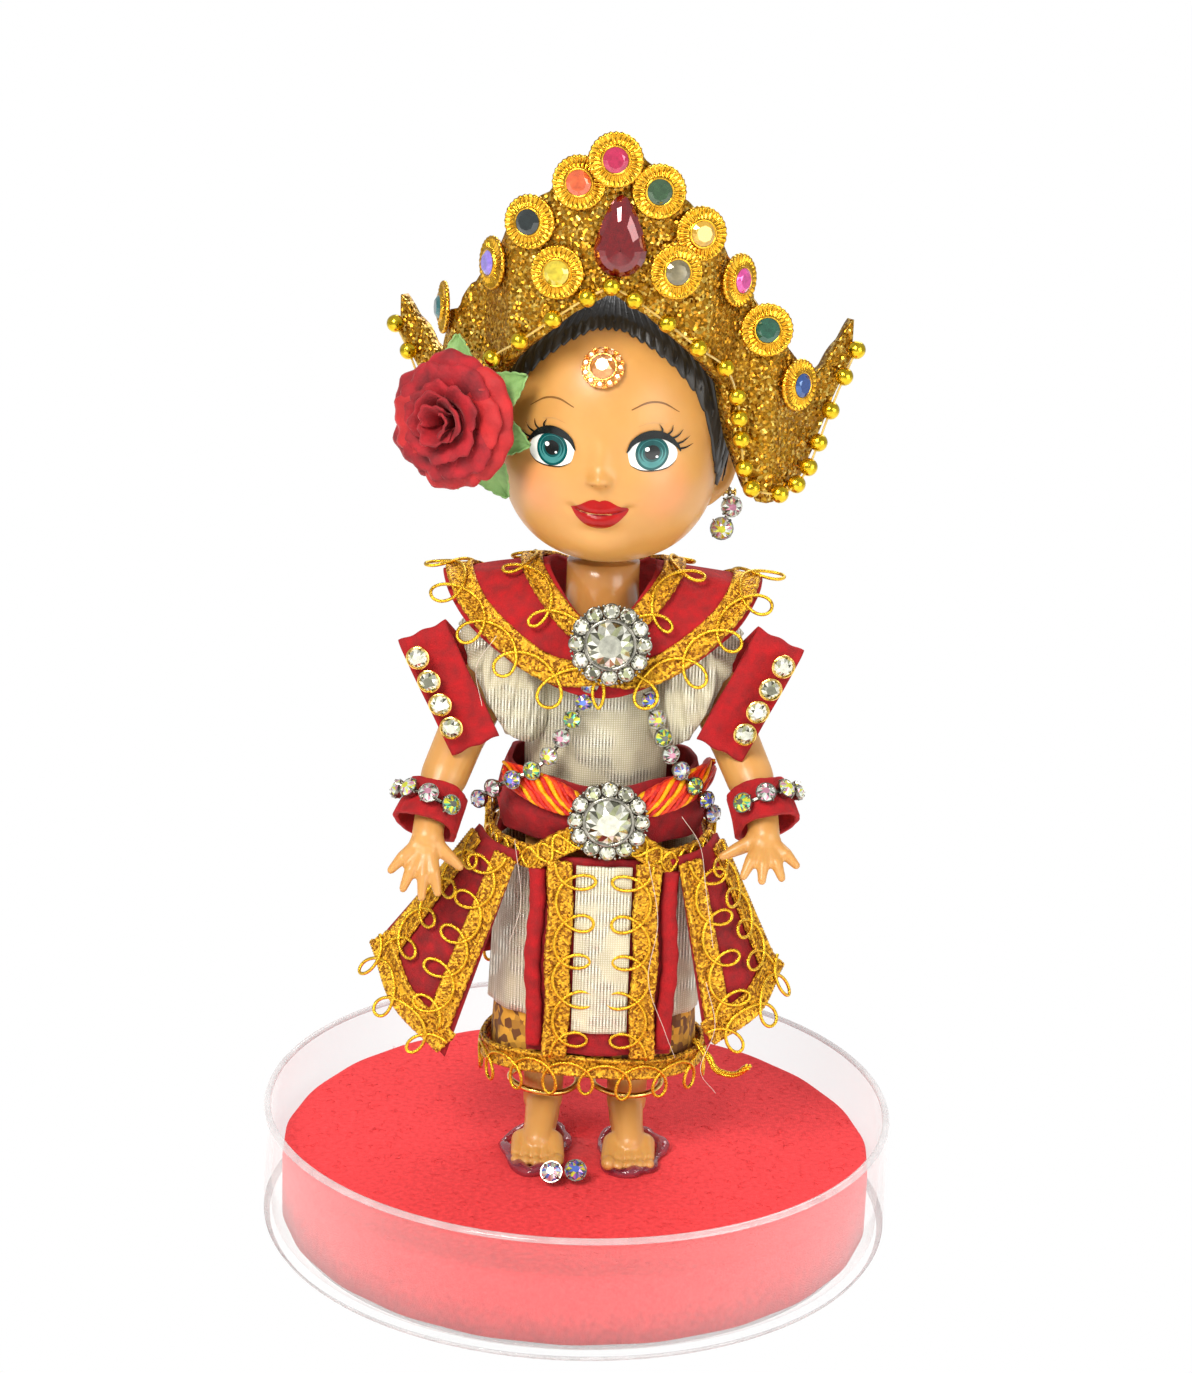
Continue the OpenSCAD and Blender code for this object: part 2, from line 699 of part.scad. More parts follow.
module cuff(side) {
    color("crimson")
    wrist_frame(side)
        rotate_extrude()
            polygon([[cuff_in, -cuff_back], [cuff_in + 0.5, cuff_l - cuff_back],
                     [cuff_in + 0.5 + velvet_t, cuff_l - cuff_back], [cuff_in + velvet_t, -cuff_back]]);
}

module cuff_stones(side) {
    color("slategray")
    wrist_frame(side)
        for (a = [-96, -58, -20])
            rotate(side > 0 ? 180 - a : a)
                translate([cuff_in + velvet_t + 0.55, 0, -0.9]) rotate([0, 90, 0]) cup_stone(1.15);
}

// ---- Head ---------------------------------------------------------------------------------

head_floor = 1.2;
ear_r = 2.4;

// Outer form of the head, grown by g: rounded cheeks over a small chin
module head_form(g, n = 40) {
    rows = 14;
    function ring(k) = let (
        t = -90 + 180 * k / rows, low = max(0, -sin(t)),
        w = (head_w / 2 + g) * cos(t) * (1 + 0.10 * low), d = (head_dp / 2 + g) * cos(t) * (1 + 0.04 * low))
        oval([head_c[0], head_c[1] - low * 0.6], w, d, head_z + (head_h / 2 + g) * sin(t) * (1 - 0.03 * low), n);
    loft([for (k = [1:rows - 1]) ring(k)]);
}

module ear(side, g = 0) {
    hull() {
        translate([head_c[0] + side * (head_w / 2 - 0.2), head_c[1] + 3, head_z - 5])
            sphere(ear_r + g, $fn = 32);
        translate([head_c[0] + side * (head_w / 2 - 1.4), head_c[1] + 2, head_z - 8.6])
            sphere(ear_r * 0.65 + g, $fn = 32);
    }
}

module head_shell() {
    collar_r = neck_r + 0.2;
    floor_z = neck_z + 0.15;
    color("navajowhite")
    difference() {
        union() {
            head_form(0);
            translate([doll_x, neck_y, floor_z]) cylinder(r = collar_r, h = head_h / 4);
            for (side = [-1, 1]) ear(side);
            translate([head_c[0], head_c[1] - head_dp / 2 - 0.5, head_z - 4.6]) sphere(1.5);
        }
        difference() {
            head_form(-shell_t);
            translate([doll_x, neck_y, 0]) cylinder(r = collar_r, h = floor_z + head_floor);
        }
        translate([doll_x, neck_y, floor_z + head_floor]) cylinder(r = collar_r - shell_t + 0.6, h = head_h / 4);
        translate([doll_x, neck_y, 0]) cylinder(r = stem_r + fit, h = head_z);
        translate(ear_at) rotate([0, 90, 0]) translate([0, 0, -hook_in]) cylinder(r = drop_pin_r + 0.02, h = 4, $fn = 24);
    }
}

// Hair as a cap over the skull with a low bun
module hair() {
    hair_t = 0.9;
    color("black")
    difference() {
        union() {
            head_form(hair_t);
            translate([head_c[0], head_c[1] + head_dp / 2 + 0.6, head_z - 1]) sphere(5);
        }
        head_form(0.05);
        translate([head_c[0], head_c[1] - head_dp / 2, head_z - 4]) rotate([-14, 0, 0])
            translate([-head_w, -head_dp / 2, -head_h]) cube([2 * head_w, head_dp / 2 + 9.5, head_h + 16.5]);
        translate([head_c[0] - head_w, head_c[1] - head_dp, head_z - head_h]) cube([2 * head_w, 2 * head_dp, head_h - 10]);
        for (side = [-1, 1]) ear(side, layer + 0.1);
    }
}

// ---- Crown --------------------------------------------------------------------------------

// Rows from the middle out: lower and upper edge as a share of the peak height, then the plan on the
// doll's left and on its right, as shares of half the head's width
crown_rows = [
    [0.507, 1.000, [-0.04, -1.05], [-0.04, -1.05]],
    [0.445, 0.905, [0.24, -1.03], [-0.33, -1.02]],
    [0.355, 0.795, [0.53, -0.97], [-0.62, -0.96]],
    [0.275, 0.685, [0.78, -0.88], [-0.87, -0.85]],
    [0.205, 0.589, [0.94, -0.70], [-1.00, -0.62]],
    [0.014, 0.530, [1.04, -0.57], [-1.09, -0.46]],
    [-0.151, 0.466, [1.18, -0.50], [-1.24, -0.34]],
    [-0.205, 0.370, [1.38, -0.52], [-1.41, -0.22]],
    [-0.184, 0.260, [1.55, -0.35], [-1.47, 0.07]],
    [-0.118, 0.195, [1.69, -0.20], [-1.52, 0.33]],
    [-0.014, 0.184, [1.81, -0.10], [-1.60, 0.53]],
    [0.123, 0.266, [1.95, -0.02], [-1.74, 0.66]],
    [0.274, 0.370, [2.12, 0.05], [-1.96, 0.78]],
];
crown_last = len(crown_rows) - 1;

// Place along the crown: k runs from -crown_last on the doll's right to crown_last on its left
function crown_row(k) = let (r = crown_rows[abs(k)]) [r[0], r[1], k < 0 ? r[3] : r[2]];
function crown_plan(k) = let (
    lo = max(-crown_last, min(crown_last - 1, floor(k))), p = mix(crown_row(lo)[2], crown_row(lo + 1)[2], k - lo))
    [head_c[0] + p[0] * head_w / 2, head_c[1] + p[1] * head_w / 2];
function crown_edge(k, top) = let (
    lo = max(-crown_last, min(crown_last - 1, floor(k))), i = top ? 1 : 0)
    head_z + crown_up * mix(crown_row(lo)[i], crown_row(lo + 1)[i], k - lo);
function crown_normal(k) = let (
    a = crown_plan(max(-crown_last, k - 0.5)), b = crown_plan(min(crown_last, k + 0.5)), d = unit(b - a)) [d[1], -d[0]];
// A point off the crown's middle surface, out in front of it by o
function crown_at(k, z, o) = let (p = crown_plan(k), n = crown_normal(k)) [p[0] + n[0] * o, p[1] + n[1] * o, z];

module crown_sheet() {
    step = 0.5;
    ks = [for (k = [-crown_last:step:crown_last]) k];
    function grid(o) = [for (v = [0:4]) [for (k = ks)
        crown_at(k, mix(crown_edge(k, false), crown_edge(k, true), v / 4), o)]];
    color("goldenrod") sheet(grid(crown_t / 2), grid(-crown_t / 2));
}

// Beads along the lower edge and up the outer edge of each wing
bead_steps = [0, 0.65, 1.6, 2.55, 3.5, 4.35, 4.75, 5.15, 5.75, 6.5, 7.3, 8.15, 8.95, 9.75, 10.6, 11.4, 12];
behind_rose = -3.5;

module crown_beads() {
    color("gold")
    for (k = bead_steps, side = [-1, 1])
        if ((k > 0 || side > 0) && side * k != behind_rose)
            translate(crown_at(side * k, crown_edge(side * k, false) + 0.3, crown_t / 2 + bead_r + 0.1)) sphere(bead_r);
}

// Buttons as place along the crown, share of the peak height, and how far they stand in front
buttons = [
    [0, 0.918, 1.2], [-1.0, 0.84, 0], [-2.4, 0.706, 0], [-3.95, 0.557, 0], [-7.4, 0.381, 0],
    [1.25, 0.82, 0], [2.55, 0.687, 0], [4.4, 0.53, 0], [6.7, 0.364, 0], [8.2, 0.172, 0],
    [-1.55, 0.55, 0], [1.75, 0.567, 1.2],
];
button_t = 0.9;

module on_crown(b) {
    n = crown_normal(b[0]);
    z = head_z + crown_up * b[1];
    translate(crown_at(b[0], z, crown_t / 2 + 0.35 + b[2])) aim([n[0], n[1], 0]) children();
}

module crown_buttons() {
    color("gold")
    for (b = buttons)
        on_crown(b) rotate_extrude()
            polygon([[0, 0], [button_r, 0.3], [button_r, 0.6], [cabochon_r + 0.3, button_t], [0, button_t]]);
}

module crown_cabochons() {
    color("hotpink")
    for (b = buttons)
        on_crown(b) translate([0, 0, button_t]) cylinder(r1 = cabochon_r, r2 = cabochon_r * 0.6, h = 0.6, $fn = 32);
}

module teardrop_gem() {
    tall = 9.6;
    color("maroon")
    translate(crown_at(0.2, head_z + crown_up * 0.63, crown_t / 2 + 0.2)) rotate([90, 0, 0])
        hull() {
            cylinder(r = 3.1, h = 0.8, $fn = 40);
            translate([0, tall - 3.6, 0]) cylinder(r = 0.5, h = 0.8, $fn = 16);
            cylinder(r = 1.8, h = 1.8, $fn = 24);
        }
}

module forehead_jewel() {
    color("orange")
    translate([head_c[0] - 0.9, head_c[1] - head_dp / 2 * 0.87 - 0.45, head_z + 8.2]) rotate([90 - 26, 0, 0])
        union() {
            cylinder(r = 2.6, h = 0.7);
            translate([0, 0, 0.7]) cylinder(r1 = 1.7, r2 = 1, h = 0.7);
        }
}

// ---- Rose and earring ---------------------------------------------------------------------

rose_at = [head_c[0] - 18.7, head_c[1] - 9.7, head_z + 1.2];
rose_dir = unit([-0.42, -0.9, 0.05]);

module rose() {
    color("crimson")
    translate(rose_at) aim(rose_dir)
        rotate_extrude()
            polygon(concat([[0, 0]], [for (a = [0:7.5:90]) [rose_r * cos(a), rose_r * 0.86 * sin(a)]]));
}

module rose_leaves() {
    leaf_l = 6;
    leaf_t = 0.4;
    color("forestgreen")
    translate(rose_at) aim(rose_dir)
        for (a = [32, 98, 196, 300])
            rotate(a) translate([rose_r - 2.6, 0, -leaf_t - 0.15])
                linear_extrude(leaf_t) intersection() {
                    translate([leaf_l / 2, -leaf_l * 0.32]) circle(leaf_l * 0.62, $fn = 48);
                    translate([leaf_l / 2, leaf_l * 0.32]) circle(leaf_l * 0.62, $fn = 48);
                }
}

ear_at = [head_c[0] + head_w / 2 + 0.25, head_c[1] + 1.8, head_z - 8.8];
drop_pin_r = 0.3;
hook_in = 0.9;

// Wire hook through the ear lobe, ending in the eye's pin that the drop hangs on
module earring_hook() {
    color("goldenrod")
    translate(ear_at) union() {
        rotate([0, 90, 0]) translate([0, 0, -hook_in]) cylinder(r = drop_pin_r, h = 2.75, $fn = 24);
        translate([0.35, 0, 0]) rotate([0, 90, 0]) cylinder(r = 0.6, h = 0.4, $fn = 24);
        translate([1.85, 0, 0]) rotate([0, 90, 0]) cylinder(r = 0.6, h = 0.3, $fn = 24);
    }
}

// Two stones hanging in a row from an eye on the pin
module earring_drop() {
    color("slategray")
    translate(ear_at) union() {
        difference() {
            translate([0.95, 0, 0]) rotate([0, 90, 0]) cylinder(r = 0.85, h = 0.6, $fn = 24);
            rotate([0, 90, 0]) cylinder(r = drop_pin_r + fit, h = 4, $fn = 24);
        }
        translate([0.95, -0.35, -1.6]) cube([0.6, 0.7, 1.2]);
        translate([1.25, 0.5, -2.3]) rotate([90, 0, 0]) cup_stone(1.2);
        translate([0.95, 0, -4.9]) cube([0.6, 0.5, 2]);
        translate([0.9, 0.5, -5.2]) rotate([90, 0, 0]) cup_stone(1.3);
    }
}

// ---- Nodes --------------------------------------------------------------------------------

base_dish();
plinth_core();
felt_cover();
glue_pads();
toe_crystals();
leg(-1);  // right_leg
leg(1);  // left_leg
anklet(-1);  // right_anklet
anklet(1);  // left_anklet
batik_wrap();
overskirt();
hem_braid();
front_panel();
front_inlay();
front_braids();
peplum(right_panel);  // right_peplum
peplum(left_panel);  // left_peplum
back_peplum();
peplum_braid(right_panel);  // right_peplum_braid
peplum_braid(left_panel);  // left_peplum_braid
back_peplum_braid();
torso_front();
torso_back();
bodice();
waistband();
sash(-1);  // right_sash
sash(1);  // left_sash
collar();
collar_outer_braid();
collar_inner_braid();
on_brooch(collar_brooch_at, 0) brooch_setting();  // collar_brooch_setting
on_brooch(collar_brooch_at, 0) brooch_stones();  // collar_brooch_stones
on_brooch(belt_brooch_at, 0) brooch_setting();  // belt_brooch_setting
on_brooch(belt_brooch_at, 0) brooch_stones();  // belt_brooch_stones
chain(chain_right);  // right_chain
chain(chain_left);  // left_chain
arm(-1);  // right_arm
cap_sleeve(-1);  // right_cap_sleeve
arm_band(-1);  // right_arm_band
band_studs(-1);  // right_band_studs
cuff(-1);  // right_cuff
cuff_stones(-1);  // right_cuff_stones
arm(1);  // left_arm
cap_sleeve(1);  // left_cap_sleeve
arm_band(1);  // left_arm_band
band_studs(1);  // left_band_studs
cuff(1);  // left_cuff
cuff_stones(1);  // left_cuff_stones
head_shell();
hair();
crown_sheet();
crown_beads();
crown_buttons();
crown_cabochons();
teardrop_gem();
forehead_jewel();
rose();
rose_leaves();
earring_hook();
earring_drop();
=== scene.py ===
"""Looks for a small costumed dancer doll on a round display stand. Lengths are millimetres until meshed."""
import bpy
import math
import random
import numpy as np
from mathutils import Matrix, Vector
from mathutils.bvhtree import BVHTree


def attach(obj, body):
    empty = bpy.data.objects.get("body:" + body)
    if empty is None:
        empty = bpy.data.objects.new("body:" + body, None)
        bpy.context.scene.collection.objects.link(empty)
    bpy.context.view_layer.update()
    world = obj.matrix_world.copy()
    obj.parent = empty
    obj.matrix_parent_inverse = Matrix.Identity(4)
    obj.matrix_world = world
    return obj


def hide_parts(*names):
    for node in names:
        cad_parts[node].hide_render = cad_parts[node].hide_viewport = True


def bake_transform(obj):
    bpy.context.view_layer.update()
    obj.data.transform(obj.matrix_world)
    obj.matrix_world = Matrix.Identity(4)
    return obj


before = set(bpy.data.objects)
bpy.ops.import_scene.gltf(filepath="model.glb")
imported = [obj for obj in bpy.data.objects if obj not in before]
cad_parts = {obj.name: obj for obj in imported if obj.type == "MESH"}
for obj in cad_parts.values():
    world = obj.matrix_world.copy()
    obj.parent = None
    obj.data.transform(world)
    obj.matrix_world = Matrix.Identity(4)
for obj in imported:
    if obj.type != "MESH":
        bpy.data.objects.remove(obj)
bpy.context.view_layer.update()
MM = 0.001
TAU = 2 * math.pi
rnd = random.Random(7)

# ---- Materials ----

BUMP_DEPTH = 0.0002
PATTERNS = {"noise": ("TexNoise", "Fac", {"Detail": 5}), "cells": ("TexVoronoi", "Color", {})}


class Shader:
    """Makes and joins the nodes of a material or a world."""

    def __init__(self, owner):
        self.tree = owner.node_tree

    @property
    def main(self):
        return self.tree.nodes["Principled BSDF"].inputs

    def into(self, socket, value):
        """Links another socket to this one, or sets its plain value."""
        if isinstance(value, bpy.types.NodeSocket):
            self.tree.links.new(value, socket)
        elif socket.type == "RGBA" and len(value) == 3:
            socket.default_value = (*value, 1)
        else:
            socket.default_value = value

    def node(self, kind, result, *inputs, at=None, **named):
        """A new node's output. Capitalised names are inputs, the others are settings."""
        n = self.tree.nodes.new("ShaderNode" + kind)
        for key in [k for k in named if k[0].islower()]:
            setattr(n, key, named.pop(key))
        for key, v in [*enumerate(inputs), *(at or {}).items(), *named.items()]:
            self.into(n.inputs[key.replace("_", " ") if isinstance(key, str) else key], v)
        return n.outputs[result]

    def spot(self):
        return self.node("TexCoord", "Object")

    def ramp(self, source, first, last, *between):
        """A colour ramp; each stop is a position and a colour."""
        n = self.tree.nodes.new("ShaderNodeValToRGB")
        stops = n.color_ramp.elements
        for i, (where, color) in enumerate((first, last)):
            stops[i].position, stops[i].color = where, (*color, 1)
        for where, color in between:
            stops.new(where).color = (*color, 1)
        self.into(n.inputs[0], source)
        return n.outputs[0]


def material(name, low, high, rough=0.5, spread=0.1, scale=900, metal=0.0, bump=0.1, bump_scale=2500,
             pattern="noise", stretch=(1, 1, 1), **values):
    """Principled material whose colour runs from low to high over a pattern, with roughness and bump."""
    m = bpy.data.materials.new(name)
    m.use_nodes = True
    s = Shader(m)
    spot = s.node("Mapping", 0, Vector=s.spot(), Scale=stretch)
    kind, result, settings = PATTERNS[pattern]
    field = s.node(kind, result, Vector=spot, Scale=scale, **settings)
    s.into(s.main["Base Color"], s.ramp(field, (0.3, low), (0.7, high)))
    s.into(s.main["Roughness"], s.node("MapRange", 0, Value=field, To_Min=max(0.02, rough - spread),
                                       To_Max=min(1, rough + spread)))
    if bump:
        grain = s.node("TexNoise", "Fac", Vector=spot, Scale=bump_scale, Detail=3)
        s.into(s.main["Normal"], s.node("Bump", 0, Strength=bump, Distance=BUMP_DEPTH, Height=grain))
    for key, v in {"Metallic": metal, **values}.items():
        s.into(s.main[key.replace("_", " ")], v)
    return m


def vinyl(name, low, high, rough):
    return material(name, low, high, rough, 0.06, 160, bump=0.05, bump_scale=900, Subsurface_Weight=0.35,
                    Subsurface_Radius=(0.0022, 0.0011, 0.0006), Coat_Weight=0.12, Coat_Roughness=0.25)


def velvet(name, low, high):
    return material(name, low, high, 0.85, 0.1, 700, bump=0.6, bump_scale=5200, Sheen_Weight=0.3,
                    Sheen_Roughness=0.3, Sheen_Tint=(1, 0.06, 0.05, 1))


def brocade(name, ground, pale):
    """Silver cloth: a fine weave with patches of upright dashes in bright metal thread."""
    m = material(name, ground, pale, 0.45, 0.12, 260, bump=0.15, Sheen_Weight=0.1)
    s = Shader(m)
    spot = s.spot()

    def wave(scale, axis, distort=0.6):
        return s.node("TexWave", "Fac", Vector=spot, Scale=scale, Distortion=distort, Detail_Scale=300,
                      bands_direction=axis)

    def step(source, low, high):
        return s.node("MapRange", 0, Value=source, From_Min=low, From_Max=high)

    def times(a, c):
        return s.node("Math", 0, a, c, operation="MULTIPLY")

    def mixed(fac, first, second):
        return s.node("Mix", 2, at={6: first, 7: second}, data_type="RGBA", Factor=fac)

    patches = s.node("TexNoise", "Fac", Vector=spot, Scale=190, Detail=1)
    where = times(step(patches, 0.46, 0.54), step(wave(130, "Z", 9.0), 0.35, 0.5))
    dash = step(wave(740, "X", 2.5), 0.3, 0.6)
    weave = times(wave(1050, "X"), wave(1050, "Z"))
    base = mixed(times(weave, 0.55), s.main["Base Color"].links[0].from_socket, (1.0, 0.97, 0.88))
    thread = mixed(dash, (0.10, 0.09, 0.05), (0.98, 0.96, 0.84))
    s.into(s.main["Base Color"], mixed(where, base, thread))
    s.into(s.main["Metallic"], times(where, 0.9))
    s.into(s.main["Normal"].links[0].from_node.inputs["Normal"],
           s.node("Bump", 0, Strength=0.6, Distance=0.0001, Height=weave))
    return m


def gold(name, low=(0.62, 0.33, 0.04), high=(0.95, 0.66, 0.16), rough=0.28, **values):
    return material(name, low, high, rough, 0.1, 1400, 1.0, 0.25, 4000, **values)


def clear_film(m, face, edge):
    """Makes a material see-through: nearly clear face on, denser where it is looked along. On the white dish
    this denser edge is a painted reflection.
    """
    s = Shader(m)
    facing = s.node("LayerWeight", "Facing", Blend=0.25)
    s.into(s.main["Alpha"], s.node("MapRange", 0, Value=facing, To_Min=face, To_Max=edge))


def glitter(name):
    """Gold glitter foam: small flat flakes, each turned its own way."""
    m = material(name, (0.25, 0.10, 0.005), (0.70, 0.40, 0.03), 0.3, 0.15, 3200, 0.85, 0.2, pattern="cells")
    s = Shader(m)

    def vector(operation, *inputs, **named):
        return s.node("VectorMath", 0, *inputs, operation=operation, **named)

    flakes = s.node("TexVoronoi", "Color", Vector=s.spot(), Scale=3200)
    turn = vector("SCALE", vector("SUBTRACT", flakes, (0.5, 0.5, 0.5)), Scale=1.3)
    lean = vector("ADD", s.node("NewGeometry", "Normal"), turn)
    s.into(s.main["Normal"], vector("NORMALIZE", lean))
    tone = s.node("SeparateColor", "Green", flakes)
    s.into(s.main["Base Color"], s.ramp(tone, (0.35, (0.26, 0.11, 0.003)), (0.95, (1.0, 0.72, 0.16)),
                                        (0.7, (0.50, 0.26, 0.015))))
    return m


def stone(name, color, clear=0.5, film=0.0, rough=0.04, metal=0.35):
    """Foil-backed cut stone; film gives it an iridescent coat."""
    low = tuple(c * 0.6 for c in color)
    return material(name, low, color, rough, 0.02, 1500, metal, 0, Transmission_Weight=clear, IOR=1.6,
                    Coat_Weight=1.0, Coat_Roughness=0.03, Thin_Film_Thickness=film, Thin_Film_IOR=1.5)


SKIN = vinyl("skin_vinyl", (0.54, 0.265, 0.065), (0.61, 0.305, 0.082), 0.40)
BODY = vinyl("body_plastic", (0.48, 0.215, 0.055), (0.55, 0.25, 0.07), 0.2)
HAIR = material("black_hair", (0.008, 0.008, 0.008), (0.03, 0.028, 0.026), 0.38, 0.15, 800, bump=0.5,
                bump_scale=1500, stretch=(1, 1, 0.25))
GLITTER = glitter("glitter_foam")
PLATED = gold("gold_plated_plastic", (0.55, 0.26, 0.01), (0.90, 0.52, 0.05), 0.18)
BEAD = gold("gold_bead", (0.55, 0.36, 0.01), (0.86, 0.63, 0.04), 0.13)
WIRE = gold("gold_wire", (0.78, 0.50, 0.10), (0.95, 0.70, 0.22), 0.2)
THREAD = material("bead_thread", (0.55, 0.36, 0.05), (0.75, 0.52, 0.10), 0.4, 0.1, Transmission_Weight=0.3)
SILVER = material("grey_setting", (0.16, 0.155, 0.13), (0.40, 0.38, 0.33), 0.24, 0.1, 1300, 1.0, 0.2)
# Clear crystal and three copies of it for single facets: _dark is painted shade, _lit a painted highlight and
# _tint a painted yellow-green reflection.
CLEAR = [stone("clear_crystal" + kind, color, clear, metal=metal) for kind, color, clear, metal in (
    ("", (0.80, 0.80, 0.66), 0.25, 0.7), ("_dark", (0.17, 0.17, 0.11), 0.1, 0.8),
    ("_lit", (1.0, 1.0, 0.90), 0.1, 0.2), ("_tint", (0.62, 0.66, 0.36), 0.2, 0.6))]

# ---- Mesh helpers ----


def v3(*a):
    return np.array(a, float)


def circle(n):
    """Even angles round a circle."""
    return np.linspace(0, TAU, n, endpoint=False)


def unit(v):
    v = np.asarray(v, float)
    return v / (np.linalg.norm(v, axis=-1, keepdims=True) + 1e-12)


class Bag:
    """Collects pieces of mesh that become one object."""

    def __init__(self):
        self.verts, self.faces, self.mats, self.count = [], [], [], 0

    def add(self, verts, faces, mat=0):
        verts = np.asarray(verts, float).reshape(-1, 3)
        self.verts.append(verts)
        self.faces += [tuple(i + self.count for i in f) for f in faces]
        self.mats += list(mat) if isinstance(mat, (list, tuple)) else [mat] * len(faces)
        self.count += len(verts)
        return self

    def put(self, piece, at, z, mat=0, x=None):
        """Adds a piece made along +Z, turned along z and moved to at."""
        return self.add(place(piece[0], at, z, x), piece[1], mat)

    def object(self, name, mats, body, slot, replaces=(), smooth=True):
        me = bpy.data.meshes.new(name)
        me.from_pydata((np.concatenate(self.verts) * MM).tolist(), [], self.faces)
        for m in mats if isinstance(mats, (list, tuple)) else [mats]:
            me.materials.append(m)
        me.polygons.foreach_set("material_index", self.mats)
        me.polygons.foreach_set("use_smooth", [smooth] * len(me.polygons))
        me.update()
        o = bpy.data.objects.new(name, me)
        bpy.context.scene.collection.objects.link(o)
        if body:
            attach(o, body)
        if replaces:
            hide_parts(*([replaces] if isinstance(replaces, str) else replaces))
        return o


def grid(p, loop_u=False, loop_v=False):
    """Faces over an array of points, rows of v by columns of u."""
    p = np.asarray(p, float)
    nv, nu = p.shape[:2]
    faces = []
    for k in range(nv if loop_v else nv - 1):
        for i in range(nu if loop_u else nu - 1):
            a, b = k * nu + i, k * nu + (i + 1) % nu
            c, d = ((k + 1) % nv) * nu + (i + 1) % nu, ((k + 1) % nv) * nu + i
            faces.append((a, b, c, d))
    return p.reshape(-1, 3), faces


def normals_of(p):
    """Normals of a grid of points, from its own neighbours."""
    du = np.gradient(p, axis=1)
    dv = np.gradient(p, axis=0)
    return unit(np.cross(du, dv))


def slab(p, t, out=1.0, loop_u=False):
    """A closed sheet of thickness t on a grid of points, with a softly rounded rim."""
    p = np.asarray(p, float)
    if loop_u:
        q = np.concatenate([p[:, -1:], p, p[:, :1]], axis=1)
        n = normals_of(q)[:, 1:-1]
    else:
        n = normals_of(p)
    n = n * out
    top, low = p + n * t, p
    if loop_u:
        rows = np.concatenate([low, low[-1:] * 0.5 + top[-1:] * 0.5, top[::-1],
                               low[:1] * 0.5 + top[:1] * 0.5])
        return grid(rows, loop_u=True, loop_v=True)
    nv, nu = p.shape[:2]
    verts = np.concatenate([low.reshape(-1, 3), top.reshape(-1, 3)])
    m = nv * nu
    faces = []
    for k in range(nv - 1):
        for i in range(nu - 1):
            a = k * nu + i
            faces.append((a, a + nu, a + nu + 1, a + 1))
            faces.append((m + a, m + a + 1, m + a + nu + 1, m + a + nu))
    edge = [i for i in range(nu)] + [k * nu + nu - 1 for k in range(1, nv)]
    edge += [(nv - 1) * nu + i for i in range(nu - 2, -1, -1)] + [k * nu for k in range(nv - 2, 0, -1)]
    for a, b in zip(edge, edge[1:] + edge[:1]):
        faces.append((a, b, m + b, m + a))
    if out < 0:
        faces = [f[::-1] for f in faces]
    return verts, faces


def frames(path, up=None, loop=False):
    """Tangent, side and up at each point of a path; up follows the given normals when there are any."""
    path = np.asarray(path, float)
    if loop:
        t = unit(np.roll(path, -1, 0) - np.roll(path, 1, 0))
    else:
        t = unit(np.gradient(path, axis=0))
    if up is None:
        ups = []
        u = v3(0, 0, 1) if abs(t[0][2]) < 0.9 else v3(1, 0, 0)
        for d in t:
            u = u - d * np.dot(u, d)
            u = u / (np.linalg.norm(u) + 1e-9)
            ups.append(u)
        up = np.array(ups)
    else:
        up = np.asarray(up, float)
        if up.ndim == 1:
            up = np.tile(up, (len(path), 1))
        up = unit(up - t * np.sum(up * t, axis=1, keepdims=True))
    return t, np.cross(t, up), up


def tube(path, r, sides=6, loop=False, flat=1.0, up=None):
    """A tube along a path, closed at its ends; r is a radius or one for each point."""
    path = np.asarray(path, float)
    _, side, up = frames(path, up, loop)
    r = np.broadcast_to(np.asarray(r, float), (len(path),))
    a = np.arange(sides) * TAU / sides
    ring = (np.cos(a)[None, :, None] * side[:, None]
            + flat * np.sin(a)[None, :, None] * up[:, None]) * r[:, None, None]
    verts, faces = grid(path[:, None] + ring, loop_u=True, loop_v=loop)
    if not loop:
        faces.append(tuple(range(sides))[::-1])
        faces.append(tuple(len(verts) - sides + i for i in range(sides)))
    return verts, faces


def revolve(profile, n=48):
    """A profile of (radius, height) turned about Z; closed where it starts and ends on the axis."""
    a = np.arange(n) * TAU / n
    rows = np.array([[(max(r, 1e-4) * math.cos(t), max(r, 1e-4) * math.sin(t), z) for t in a] for r,
                     z in profile])
    return grid(rows, loop_u=True)


def ball(c, r, n=16):
    r = np.broadcast_to(np.asarray(r, float), (3,))
    k = n // 2
    v, f = revolve([(math.sin(math.pi * i / k), -math.cos(math.pi * i / k)) for i in range(k + 1)], n)
    return v * r + np.asarray(c, float), f


def place(verts, at, z, x=None):
    """Turns local +Z to point along z and moves the piece to at."""
    z = unit(z)
    if x is None:
        x = v3(1, 0, 0) if abs(z[0]) < 0.8 else v3(0, 0, 1)
    x = np.asarray(x, float)
    x = unit(x - z * np.dot(x, z))
    y = np.cross(z, x)
    return np.asarray(verts) @ np.array([x, y, z]) + np.asarray(at, float)


def spline(points, n):
    """Smooth curve through the points, at n even steps."""
    p = np.asarray(points, float)
    q = np.vstack([2 * p[0] - p[1], p, 2 * p[-1] - p[-2]])
    dense = []
    for i in range(len(p) - 1):
        a, b, c, d = q[i:i + 4]
        for t in np.linspace(0, 1, 24, endpoint=False):
            dense.append(0.5 * (2 * b + (c - a) * t + (2 * a - 5 * b + 4 * c - d) * t * t
                                + (3 * b - a - 3 * c + d) * t ** 3))
    dense.append(p[-1])
    return resample(dense, n)


def spline2(points, n):
    """The same for points of a plane."""
    return spline([(x, 0, z) for x, z in points], n)[:, [0, 2]]


def spoke(r, a, z):
    return v3(r * math.cos(a), r * math.sin(a), z)


def oval(c, w, d, z, a):
    """Points of an oval round c; its half sizes and height may change with the angles a."""
    return np.stack([c[0] + w * np.cos(a), c[1] + d * np.sin(a), z + 0 * a], -1)


